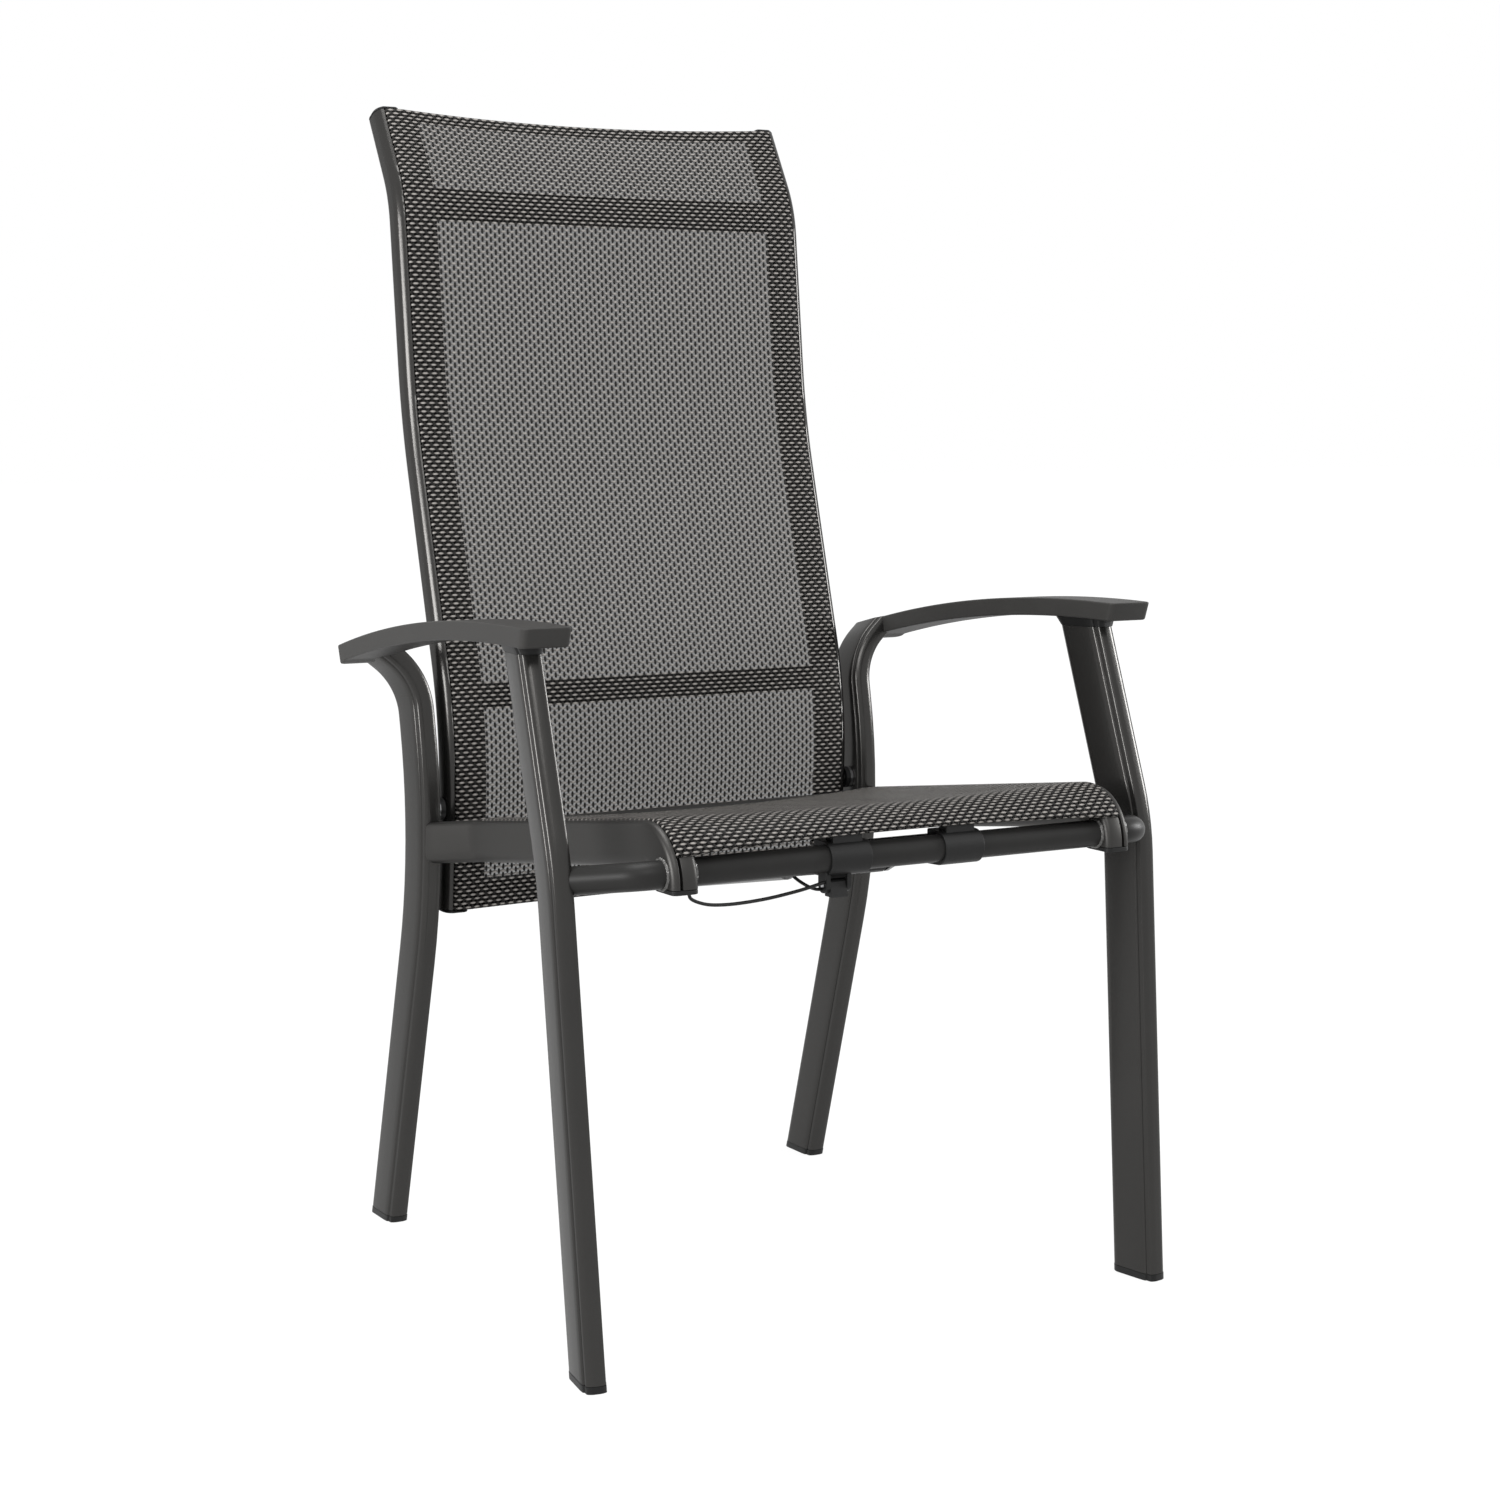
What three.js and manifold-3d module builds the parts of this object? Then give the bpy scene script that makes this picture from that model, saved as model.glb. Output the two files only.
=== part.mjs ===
// Sling patio chair with a reclining high back.
// Millimetres, +Z up, the seat faces -Y, and +X is the sitter's left-hand side seen from the front.
// The right side (+X) is modelled and mirrored to the left.

import * as THREE from "three";
import { mergeVertices } from "three/addons/utils/BufferGeometryUtils.js";
import Module from "manifold-3d";

const wasm = await Module();
wasm.setup();

// Clearance kept between pieces that touch, and how far a cutter runs past what it cuts
const gap = 0.3;
const overrun = 60;

// Leg tube: a flat oval with shallow flutes on its front edge
const legThick = 21.5;
const legDepth = 52;
const fluteDepth = 0.9;
const footCapHeight = 6;

// Front leg, from the floor up: foot, bend under the seat rail, then straight to the armrest
const frontFootX = 288;
const frontFootY = -232;
const frontKneeX = 296;
const frontKneeY = -193.5;
const frontKneeZ = 423;
const frontKneeRadius = 230;
const frontTopX = 292;
const frontTopY = -122;
const frontToe = THREE.MathUtils.degToRad(9);

// Rear leg: foot, long bend at seat level, then outwards to the armrest
const rearFootX = 244;
const rearFootY = 296;
const rearKneeX = 245;
const rearKneeY = 180.7;
const rearKneeZ = 391;
const rearKneeRadius = 470;
const hipY = 212;
const hipZ = 548;
const hipRadius = 70;
const rearTopX = 291;
const rearTopY = 219;
const rearTopDrop = 39;

// Armrest: an arched bar, wider in front
const armCrestY = -150;
const armCrestZ = 626;
const armArchRadius = 1640;
const armThick = 17;
const armFrontY = -193;
const armRearY = 231;
const armInnerX = 275.5;
const armFrontOuterX = 321;
const armRearOuterX = 315;
const armCornerRadius = 6;
const armEndRake = 6;
const collarHeight = 8;
const collarFlare = 3;

// Seat rail: tall tube with a round lower edge and a channel for the sling in its top
const railX = 219.5;
const railWide = 25;
const railTall = 39;
const railSlope = 0.131;
const railMidZ = 427.6;
const railMidY = -77;
const railNoseRadius = 30.5;
const railBendY = 112;
const railSplayRadius = 45;
const splayInShare = 0.25;
const splayAheadShare = 1 / 3;
const railTopRadius = 6;
const railEndDrop = 11;
const railCapHeight = 4;

// Bars between the rails, and the links out to the front legs
const frontBarY = -260.5;
const seatBarRadius = 12;
const seatBarZ = 427;
const linkRadius = 12;
const linkBendRadius = 28;
const linkStraight = 17;
const linkDrop = 9;
const rearBarRadius = 11;
const rearBarY = 147;
const rearBarDrop = 6;

// Back frame, in side view: lower end, lumbar bend, upper bend, neck bend, top
const backOuterX = 225.5;
const backTubeWide = 25;
const backTubeDeep = 26;
const backTubeRadius = 7;
const backFootY = 201;
const backFootZ = 326;
const lumbarY = 187;
const lumbarZ = 497;
const lumbarRadius = 400;
const midBackY = 270;
const midBackZ = 795;
const midBackRadius = 600;
const neckY = 293;
const neckZ = 1008;
const neckRadius = 120;
const backTopY = 338;
const backTopZ = 1086;
const backCapHeight = 3;
const backBarRadius = 6;

// Bars of the back frame, by height, with their section
const headBarZ = 1000;
const headBarTall = 31;
const headBarDeep = 14;
const lumbarBarZ = 529;
const lumbarBarTall = 24;
const lumbarBarDeep = 14;
const bottomBarZ = 339;
const bottomBarTall = 24;
const bottomBarDeep = 20;

// Slings and the channels that hold their edges
const slingThick = 2;
const channelWide = 2.6;
const channelDeep = 7;
const seatChannelX = 224;
const backChannelX = 216;
const seatSlingRearY = 106;
const seatSlingFrontZ = 443;
const seatSlingMiddleZ = 450;
const backSlingLowZ = 355;

// Back pivot in the rear legs
const pivotZ = 424;
const pivotRadius = 5;
const pivotHeadRadius = 11;
const pivotHeadThick = 3;
const pivotNutRadius = 9;
const pivotNutThick = 6;
const runningGap = 0.35;

// Clamps on the front bar and the yoke behind them
const clampX = 57.5;
const clampWide = 40;
const clampDeep = 32;
const clampTall = 31;
const clampLugWide = 29;
const clampLugHeight = 6;
const clampLugDeep = 12;
const yokeThick = 4;
const yokeTall = 20;
const yokeEarSpread = 30;
const frontPinY = -212;
const frontPinZ = 412;
const earRadius = 10;

// Gas spring
const springPinRadius = 4;
const springHeadWide = 24;
const springHeadLength = 34;
const springHeadTall = 20;
const springRodRadius = 4;
const springTubeRadius = 11;
const springTubeLength = 235;
const springStroke = 40;
const springEyeRadius = 11;
const springEyeBore = 6;
const springEyeWide = 12;
const rearPinY = 172;
const rearPinZ = 340;
const bracketThick = 4;
const bracketSpread = 15;

// Release lever under the left clamp
const leverX = -66.5;
const leverPinZ = 405;
const leverPinRadius = 2.5;
const leverEarThick = 4;
const leverEarRadius = 7;
const leverWide = 16;
const leverLength = 10;
const leverRootRadius = 5;
const leverTipReach = 9;

// Cables
const cableRadius = 1.5;
const cableStep = 6;
const springCableY = -195.5;
const springCableZ = 404;

// How finely arcs are divided
const bendStep = THREE.MathUtils.degToRad(7);
const barSides = 20;
const pinSides = 16;
const arcPieces = 3;
const hemPieces = 12;
const nutSides = 6;
const cableSides = 8;
const flutePieces = 10;
const legBackPieces = 6;
const archPieces = 9;

const xAxis = new THREE.Vector3(1, 0, 0);
const yAxis = new THREE.Vector3(0, 1, 0);
const zAxis = new THREE.Vector3(0, 0, 1);

// A route made of straight runs and round bends, with stations at the ends of the runs and along the bends.
// The outline that is swept along it has its +x towards the side at the start: inwards, if none is given.
class BentRoute extends THREE.Curve {
  constructor(corners, radii = [], side = xAxis.clone().negate()) {
    super();
    this.side = side;
    this.stations = [corners[0].clone()];
    for (let i = 1; i < corners.length - 1; i += 1) {
      this.addBend(corners[i - 1], corners[i], corners[i + 1], radii[i - 1]);
    }
    this.stations.push(corners[corners.length - 1].clone());
  }

  addBend(before, corner, after, radius) {
    const inward = corner.clone().sub(before).normalize();
    const outward = after.clone().sub(corner).normalize();
    const angle = inward.angleTo(outward);
    const reach = radius * Math.tan(angle / 2);
    const start = corner.clone().addScaledVector(inward, -reach);
    const side = outward.clone().addScaledVector(inward, -outward.dot(inward)).normalize();
    const steps = Math.max(2, Math.ceil(angle / bendStep));
    for (let k = 0; k <= steps; k += 1) {
      const turn = (angle * k) / steps;
      const along = radius * Math.sin(turn);
      const across = radius * (1 - Math.cos(turn));
      this.stations.push(start.clone().addScaledVector(inward, along).addScaledVector(side, across));
    }
  }

  getPoint(t) {
    const place = t * (this.stations.length - 1);
    const index = Math.min(Math.floor(place), this.stations.length - 2);
    return this.stations[index].clone().lerp(this.stations[index + 1], place - index);
  }

  getPointAt(u) {
    return this.getPoint(u);
  }

  // The direction at a station halves the angle between the runs that meet there
  getTangentAt(u) {
    const index = Math.round(u * (this.stations.length - 1));
    const here = this.stations[index];
    const before = this.stations[Math.max(index - 1, 0)];
    const after = this.stations[Math.min(index + 1, this.stations.length - 1)];
    const inward = here.clone().sub(before).normalize();
    const outward = after.clone().sub(here).normalize();
    return inward.add(outward).normalize();
  }

  // The side is carried along the route, so the outline doesn't twist
  computeFrenetFrames(steps) {
    const tangents = [];
    const normals = [];
    const binormals = [];
    const side = this.side.clone();
    for (let i = 0; i <= steps; i += 1) {
      const tangent = this.getTangentAt(i / steps);
      side.addScaledVector(tangent, -side.dot(tangent)).normalize();
      tangents.push(tangent);
      normals.push(side.clone());
      binormals.push(tangent.clone().cross(side));
    }
    return { tangents, normals, binormals };
  }

  // The point of the route at a height, found between its stations
  atHeight(z) {
    for (let i = 0; i < this.stations.length - 1; i += 1) {
      const low = this.stations[i];
      const high = this.stations[i + 1];
      if ((low.z - z) * (high.z - z) <= 0 && low.z !== high.z) {
        return low.clone().lerp(high, (z - low.z) / (high.z - low.z));
      }
    }
    return this.stations[this.stations.length - 1].clone();
  }

  // The slope of the route at a height, as an angle from the vertical in side view
  leanAt(z) {
    for (let i = 0; i < this.stations.length - 1; i += 1) {
      const low = this.stations[i];
      const high = this.stations[i + 1];
      if (low.z <= z && high.z >= z) {
        return Math.atan2(high.y - low.y, high.z - low.z);
      }
    }
    return 0;
  }
}

// On a route that rises, an outline's +x points inwards on the right-hand side and its +y to the front
function sweep(outline, route) {
  const steps = route.stations.length - 1;
  return new THREE.ExtrudeGeometry(outline, { extrudePath: route, steps, curveSegments: arcPieces });
}

function solidOf(geometry) {
  const plain = geometry.clone();
  plain.deleteAttribute("normal");
  plain.deleteAttribute("uv");
  const merged = mergeVertices(plain);
  const vertProperties = Float32Array.from(merged.attributes.position.array);
  const triVerts = Uint32Array.from(merged.index.array);
  return new wasm.Manifold(new wasm.Mesh({ numProp: 3, vertProperties, triVerts }));
}

function geometryOf(solid) {
  const mesh = solid.getMesh();
  const geometry = new THREE.BufferGeometry();
  geometry.setAttribute("position", new THREE.BufferAttribute(Float32Array.from(mesh.vertProperties), 3));
  geometry.setIndex(new THREE.BufferAttribute(Uint32Array.from(mesh.triVerts), 1));
  geometry.computeVertexNormals();
  return geometry;
}

function cut(geometry, ...cutters) {
  let solid = solidOf(geometry);
  for (const cutter of cutters) {
    solid = solid.subtract(solidOf(cutter));
  }
  return geometryOf(solid);
}

function join(geometry, ...others) {
  let solid = solidOf(geometry);
  for (const other of others) {
    solid = solid.add(solidOf(other));
  }
  return geometryOf(solid);
}

function common(first, second) {
  return geometryOf(solidOf(first).intersect(solidOf(second)));
}

function mirrored(geometry) {
  const copy = geometry.index ? geometry.toNonIndexed() : geometry.clone();
  copy.deleteAttribute("uv");
  const place = copy.attributes.position;
  for (let i = 0; i < place.count; i += 3) {
    const second = [place.getX(i + 1), place.getY(i + 1), place.getZ(i + 1)];
    place.setXYZ(i + 1, place.getX(i + 2), place.getY(i + 2), place.getZ(i + 2));
    place.setXYZ(i + 2, ...second);
  }
  copy.scale(-1, 1, 1);
  copy.computeVertexNormals();
  return copy;
}

function outlineOf(points) {
  return new THREE.Shape(points.map(([x, y]) => new THREE.Vector2(x, y)));
}

function roundedRect(wide, tall, radius) {
  const x = wide / 2;
  const y = tall / 2;
  const shape = new THREE.Shape();
  shape.moveTo(-x + radius, -y);
  shape.lineTo(x - radius, -y);
  shape.absarc(x - radius, -y + radius, radius, -Math.PI / 2, 0);
  shape.absarc(x - radius, y - radius, radius, 0, Math.PI / 2);
  shape.absarc(-x + radius, y - radius, radius, Math.PI / 2, Math.PI);
  shape.absarc(-x + radius, -y + radius, radius, Math.PI, Math.PI * 1.5);
  return shape;
}

// A shape drawn in side view (Y, Z), extruded along X
function sideBlock(shape, fromX, toX) {
  const geometry = new THREE.ExtrudeGeometry(shape, {
    depth: toX - fromX,
    bevelEnabled: false,
    curveSegments: arcPieces,
  });
  geometry.applyMatrix4(new THREE.Matrix4().makeBasis(yAxis, zAxis, xAxis));
  return geometry.translate(fromX, 0, 0);
}

// A shape drawn in plan (X, Y), extruded along Z
function planBlock(shape, fromZ, toZ) {
  const geometry = new THREE.ExtrudeGeometry(shape, {
    depth: toZ - fromZ,
    bevelEnabled: false,
    curveSegments: arcPieces,
  });
  return geometry.translate(0, 0, fromZ);
}

function box(fromX, toX, fromY, toY, fromZ, toZ) {
  const geometry = new THREE.BoxGeometry(toX - fromX, toY - fromY, toZ - fromZ);
  return geometry.translate((fromX + toX) / 2, (fromY + toY) / 2, (fromZ + toZ) / 2);
}

function rodAlongX(radius, fromX, toX, y, z, sides = pinSides) {
  const geometry = new THREE.CylinderGeometry(radius, radius, toX - fromX, sides);
  geometry.rotateZ(-Math.PI / 2);
  return geometry.translate((fromX + toX) / 2, y, z);
}

// A side view of a plate with a round end at a pin and a square foot at a wall
function earOutline(pinY, pinZ, radius, wallY, wallLow, wallHigh) {
  const facing = Math.sign(pinY - wallY);
  const shape = new THREE.Shape();
  shape.moveTo(wallY, wallLow);
  shape.lineTo(pinY, pinZ - radius);
  shape.absarc(pinY, pinZ, radius, -Math.PI / 2, Math.PI / 2, facing < 0);
  shape.lineTo(wallY, wallHigh);
  return shape;
}

const aluminium = { color: 0x3a3b3d, roughness: 0.38, metalness: 0.75 };
const armrestPaint = { color: 0x4a4b4c, roughness: 0.62, metalness: 0.15 };
const blackPlastic = { color: 0x121314, roughness: 0.55, metalness: 0 };
const steel = { color: 0xb9bcc0, roughness: 0.3, metalness: 0.95 };
const blackSteel = { color: 0x1b1c1e, roughness: 0.4, metalness: 0.6 };
const mesh = { color: 0x77726b, roughness: 0.9, metalness: 0 };

const chair = new THREE.Group();

function place(name, geometry, finish, group = chair) {
  const piece = new THREE.Mesh(geometry, new THREE.MeshStandardMaterial(finish));
  piece.name = name;
  group.add(piece);
  return piece;
}

function placePair(name, geometry, finish) {
  place(`${name}_right`, geometry, finish);
  place(`${name}_left`, mirrored(geometry), finish);
}

// Leg outline, grown all round for a cap or a cutter, and turned where the leg stands toed out
function legOutline(grow = 0, toe = 0) {
  const radius = legThick / 2;
  const straight = legDepth / 2 - radius;
  const points = [];
  for (let k = 0; k <= flutePieces; k += 1) {
    const turn = (Math.PI * k) / flutePieces;
    const r = radius + grow - (k % 2 === 1 ? fluteDepth : 0);
    points.push([r * Math.cos(turn), straight + r * Math.sin(turn)]);
  }
  for (let k = 0; k <= legBackPieces; k += 1) {
    const turn = Math.PI * (1 + k / legBackPieces);
    const r = radius + grow;
    points.push([r * Math.cos(turn), -straight + r * Math.sin(turn)]);
  }
  const turned = points.map(([x, y]) => [
    x * Math.cos(toe) - y * Math.sin(toe),
    x * Math.sin(toe) + y * Math.cos(toe),
  ]);
  return outlineOf(turned);
}

// Armrest height at a place along it, for its top and for any depth below the top
function armHeight(y, below = 0) {
  const radius = armArchRadius - below;
  const offset = y - armCrestY;
  return armCrestZ - armArchRadius + Math.sqrt(radius * radius - offset * offset);
}

// Everything above a surface that follows the armrest's arch, as a cutter
function aboveArch(below) {
  const points = [];
  for (let k = 0; k <= archPieces; k += 1) {
    const y = armFrontY - overrun + ((armRearY - armFrontY + 2 * overrun) * k) / archPieces;
    points.push([y, armHeight(y, below)]);
  }
  points.push([armRearY + overrun, armCrestZ + 2 * overrun]);
  points.push([armFrontY - overrun, armCrestZ + 2 * overrun]);
  return sideBlock(outlineOf(points), 0, armFrontOuterX + overrun);
}

const frontLegRoute = new BentRoute(
  [
    new THREE.Vector3(frontFootX, frontFootY, 0),
    new THREE.Vector3(frontKneeX, frontKneeY, frontKneeZ),
    new THREE.Vector3(frontTopX, frontTopY, armCrestZ),
  ],
  [frontKneeRadius],
);
const rearLegRoute = new BentRoute(
  [
    new THREE.Vector3(rearFootX, rearFootY, 0),
    new THREE.Vector3(rearKneeX, rearKneeY, rearKneeZ),
    new THREE.Vector3(rearKneeX, hipY, hipZ),
    new THREE.Vector3(rearTopX, rearTopY, armCrestZ - rearTopDrop),
  ],
  [rearKneeRadius, hipRadius],
);

// The route with both ends run on, so that the foot can be cut level and the top along the armrest
function runOn(route) {
  const longer = new BentRoute(route.stations.slice(0, 2));
  longer.stations = route.stations.map((station) => station.clone());
  for (const [end, inner] of [[0, 1], [-1, -2]]) {
    const away = route.stations.at(end).clone().sub(route.stations.at(inner)).normalize();
    longer.stations.at(end).addScaledVector(away, overrun);
  }
  return longer;
}

// A layer over the right-hand half of the chair, between two heights
function layer(fromZ, toZ) {
  return box(0, armFrontOuterX + overrun, railFrontY - overrun, backTopY + overrun, fromZ, toZ);
}

// The front leg ends under its collar. The rear leg goes through the armrest and ends flush with its top.
function makeLegs() {
  const legs = [
    { name: "front", route: frontLegRoute, toe: frontToe, below: armThick + collarHeight + gap },
    { name: "rear", route: rearLegRoute, toe: 0, below: 0 },
  ];
  for (const { name, route, toe, below } of legs) {
    const tube = sweep(legOutline(0, toe), runOn(route));
    const underFoot = layer(-2 * overrun, footCapHeight + gap);
    placePair(`${name}_leg`, cut(tube, aboveArch(below), underFoot), aluminium);
    const shoe = sweep(legOutline(gap, toe), runOn(route));
    placePair(`${name}_foot_cap`, common(shoe, layer(0, footCapHeight)), blackPlastic);
  }
}

function makeArmrests() {
  const top = [];
  const under = [];
  for (let k = 0; k <= archPieces; k += 1) {
    const share = k / archPieces;
    const topY = armRearY + (armFrontY - armRearY) * share;
    const underRear = armRearY - armEndRake;
    const underY = underRear + (armFrontY + armEndRake - underRear) * share;
    top.push([topY, armHeight(topY)]);
    under.unshift([underY, armHeight(underY, armThick)]);
  }
  const side = sideBlock(outlineOf([...top, ...under]), armInnerX - overrun, armFrontOuterX + overrun);
  const r = armCornerRadius;
  const plan = new THREE.Shape();
  plan.moveTo(armInnerX, armFrontY + r);
  plan.absarc(armInnerX + r, armFrontY + r, r, Math.PI, Math.PI * 1.5);
  plan.absarc(armFrontOuterX - r, armFrontY + r, r, -Math.PI / 2, 0);
  plan.absarc(armRearOuterX - r, armRearY - r, r, 0, Math.PI / 2);
  plan.absarc(armInnerX + r, armRearY - r, r, Math.PI / 2, Math.PI);
  const footprint = planBlock(plan, armHeight(armRearY) - overrun, armCrestZ + overrun);
  const legCutter = sweep(legOutline(gap), runOn(rearLegRoute));
  placePair("armrest", cut(common(side, footprint), legCutter), armrestPaint);

  // The collar widens from the leg's outline to a larger one under the armrest, and leans with the leg
  const seat = frontLegRoute.atHeight(armHeight(frontTopY, armThick) - collarHeight);
  const lean = frontLegRoute.leanAt(seat.z);
  const collar = new THREE.ExtrudeGeometry(legOutline(gap, -frontToe), {
    depth: 2 * collarHeight,
    bevelEnabled: false,
  });
  const points = collar.attributes.position;
  for (let i = 0; i < points.count; i += 1) {
    const height = points.getZ(i) - collarHeight / 2;
    const flare = (collarFlare * height) / collarHeight;
    points.setX(i, points.getX(i) * (1 + flare / (legThick / 2)));
    points.setY(i, points.getY(i) * (1 / Math.cos(lean) + flare / (legDepth / 2)) - height * Math.tan(lean));
  }
  collar.rotateZ(Math.PI);
  collar.translate(seat.x, seat.y, seat.z - collarHeight / 2);
  const overLeg = common(collar, aboveArch(armThick + collarHeight));
  placePair("armrest_collar", cut(overLeg, aboveArch(armThick + gap)), blackPlastic);
}

// The rail's middle line in side view, straight from the front bend to the rear leg
function railHeight(y) {
  return railMidZ - railSlope * (y - railMidY);
}

const rearLegAtRail = rearLegRoute.atHeight(railHeight(rearKneeY));
const railEndZ = seatBarZ - railEndDrop;
const splayY = rearKneeY - splayAheadShare * legDepth;
const railFrontY = frontBarY - railTall / 2;
const railRoute = new BentRoute(
  [
    new THREE.Vector3(railX, frontBarY, railEndZ),
    new THREE.Vector3(railX, frontBarY, railHeight(frontBarY)),
    new THREE.Vector3(railX, railBendY, railHeight(railBendY)),
    new THREE.Vector3(rearLegAtRail.x - splayInShare * legThick, splayY, railHeight(splayY)),
    new THREE.Vector3(rearLegAtRail.x, rearKneeY, railHeight(rearKneeY)),
  ],
  [railNoseRadius, railSplayRadius, railSplayRadius],
);

// Rail outline: +x inwards, +y up, with the sling's channel open at the top
function railOutline(withChannel) {
  const x = railWide / 2;
  const y = railTall / 2;
  const channel = railX - seatChannelX;
  const shape = new THREE.Shape();
  shape.moveTo(-x, -y + x);
  shape.absarc(0, -y + x, x, Math.PI, Math.PI * 2);
  shape.absarc(x - railTopRadius, y - railTopRadius, railTopRadius, 0, Math.PI / 2);
  if (withChannel) {
    shape.lineTo(channel + channelWide / 2, y);
    shape.lineTo(channel + channelWide / 2, y - channelDeep);
    shape.lineTo(channel - channelWide / 2, y - channelDeep);
    shape.lineTo(channel - channelWide / 2, y);
  }
  shape.absarc(-x + railTopRadius, y - railTopRadius, railTopRadius, Math.PI / 2, Math.PI);
  return shape;
}

function makeRails() {
  const legCutter = sweep(legOutline(gap), runOn(rearLegRoute));
  const behindLeg = box(0, armFrontOuterX, rearLegAtRail.y, rearLegAtRail.y + 2 * overrun, 0, armCrestZ);
  const rail = cut(sweep(railOutline(true), railRoute), legCutter, behindLeg);
  placePair("seat_rail", rail, aluminium);

  const cap = new THREE.ExtrudeGeometry(railOutline(false), {
    depth: railCapHeight,
    bevelEnabled: false,
    curveSegments: arcPieces,
  });
  cap.rotateZ(Math.PI);
  cap.translate(railX, frontBarY, railEndZ - gap - railCapHeight);
  placePair("seat_rail_cap", cap, blackPlastic);
}

function makeSeatBars() {
  const innerX = railX - railWide / 2 - gap;
  const frontBar = rodAlongX(seatBarRadius, -innerX, innerX, frontBarY, seatBarZ, barSides);
  place("seat_front_bar", frontBar, aluminium);

  const outerX = railX + railWide / 2 + gap;
  const linkZ = seatBarZ - linkDrop;
  const legAt = frontLegRoute.atHeight(linkZ);
  const linkRoute = new BentRoute(
    [
      new THREE.Vector3(outerX, frontBarY, seatBarZ),
      new THREE.Vector3(outerX + linkStraight, frontBarY, seatBarZ),
      new THREE.Vector3(legAt.x, legAt.y, linkZ),
    ],
    [linkBendRadius],
    zAxis.clone(),
  );
  const link = sweep(new THREE.Shape().absarc(0, 0, linkRadius, 0, Math.PI * 2), linkRoute);
  const frontLegCutter = sweep(legOutline(gap, frontToe), runOn(frontLegRoute));
  const pastLeg = box(legAt.x, armFrontOuterX + overrun, railFrontY - overrun, 0, 0, armCrestZ);
  placePair("leg_link", cut(link, frontLegCutter, pastLeg), aluminium);

  const rearBarZ = railHeight(rearBarY) + rearBarDrop;
  const rearBar = rodAlongX(rearBarRadius, -rearKneeX, rearKneeX, rearBarY, rearBarZ, barSides);
  const clearRail = sweep(roundedRect(railWide + 2 * gap, railTall + 2 * gap, railTopRadius), railRoute);
  const trimmed = cut(rearBar, clearRail, mirrored(clearRail));
  place("seat_rear_bar", largestPart(trimmed), aluminium);
}

// Of the pieces that a cut leaves, the one with the most volume
function largestPart(geometry) {
  const parts = solidOf(geometry).decompose();
  parts.sort((a, b) => b.volume() - a.volume());
  return geometryOf(parts[0]);
}

const backX = backOuterX - backTubeWide / 2;
const backCorners = [
  [backFootY, backFootZ],
  [lumbarY, lumbarZ],
  [midBackY, midBackZ],
  [neckY, neckZ],
  [backTopY, backTopZ],
];
const backBends = [lumbarRadius, midBackRadius, neckRadius];

function backRouteAt(x) {
  return new BentRoute(backCorners.map(([y, z]) => new THREE.Vector3(x, y, z)), backBends);
}

const backRoute = backRouteAt(backX);

// Back tube outline: +x inwards, +y to the front, with the sling's channel open to the front
function backTubeOutline(withChannel) {
  const x = backTubeWide / 2;
  const y = backTubeDeep / 2;
  const r = backTubeRadius;
  const channel = backX - backChannelX;
  const shape = new THREE.Shape();
  shape.moveTo(-x + r, -y);
  shape.absarc(x - r, -y + r, r, -Math.PI / 2, 0);
  shape.absarc(x - r, y - r, r, 0, Math.PI / 2);
  if (withChannel) {
    shape.lineTo(channel + channelWide / 2, y);
    shape.lineTo(channel + channelWide / 2, y - channelDeep);
    shape.lineTo(channel - channelWide / 2, y - channelDeep);
    shape.lineTo(channel - channelWide / 2, y);
  }
  shape.absarc(-x + r, y - r, r, Math.PI / 2, Math.PI);
  shape.absarc(-x + r, -y + r, r, Math.PI, Math.PI * 1.5);
  return shape;
}

function makeBackFrame() {
  const pivot = backRoute.atHeight(pivotZ);
  const bore = rodAlongX(pivotRadius + runningGap, 0, backOuterX + overrun, pivot.y, pivot.z);
  placePair("back_tube", cut(sweep(backTubeOutline(true), backRoute), bore), aluminium);

  const ends = [
    { name: "back_top_cap", z: backTopZ, y: backTopY, lean: backRoute.leanAt(backTopZ), side: 1 },
    { name: "back_foot_cap", z: backFootZ, y: backFootY, lean: backRoute.leanAt(backFootZ), side: -1 },
  ];
  for (const { name, z, y, lean, side } of ends) {
    const cap = new THREE.ExtrudeGeometry(backTubeOutline(false), {
      depth: backCapHeight,
      bevelEnabled: false,
      curveSegments: arcPieces,
    });
    cap.rotateZ(Math.PI);
    cap.translate(0, 0, side > 0 ? gap : -gap - backCapHeight);
    cap.rotateX(-lean);
    placePair(name, cap.translate(backX, y, z), blackPlastic);
  }

  const bars = [
    { name: "headrest_bar", z: headBarZ, tall: headBarTall, deep: headBarDeep },
    { name: "lumbar_bar", z: lumbarBarZ, tall: lumbarBarTall, deep: lumbarBarDeep },
    { name: "back_bottom_bar", z: bottomBarZ, tall: bottomBarTall, deep: bottomBarDeep },
  ];
  const half = backOuterX - backTubeWide - gap;
  for (const { name, z, tall, deep } of bars) {
    const at = backRoute.atHeight(z);
    const bar = sideBlock(roundedRect(deep, tall, backBarRadius), -half, half);
    bar.rotateX(-backRoute.leanAt(z));
    place(name, bar.translate(0, at.y, at.z), aluminium);
  }
}

// A sling's section: a web in front of the tubes with a lip in each channel. +y is the side that is sat on.
function slingOutline(channelX, surface) {
  const x = channelX + slingThick / 2;
  const low = surface + gap;
  const high = low + slingThick;
  const lip = surface - channelDeep + 3 * gap;
  return outlineOf([
    [-x, high],
    [-x, lip],
    [-x + slingThick, lip],
    [-x + slingThick, low],
    [x - slingThick, low],
    [x - slingThick, lip],
    [x, lip],
    [x, high],
  ].reverse());
}

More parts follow.
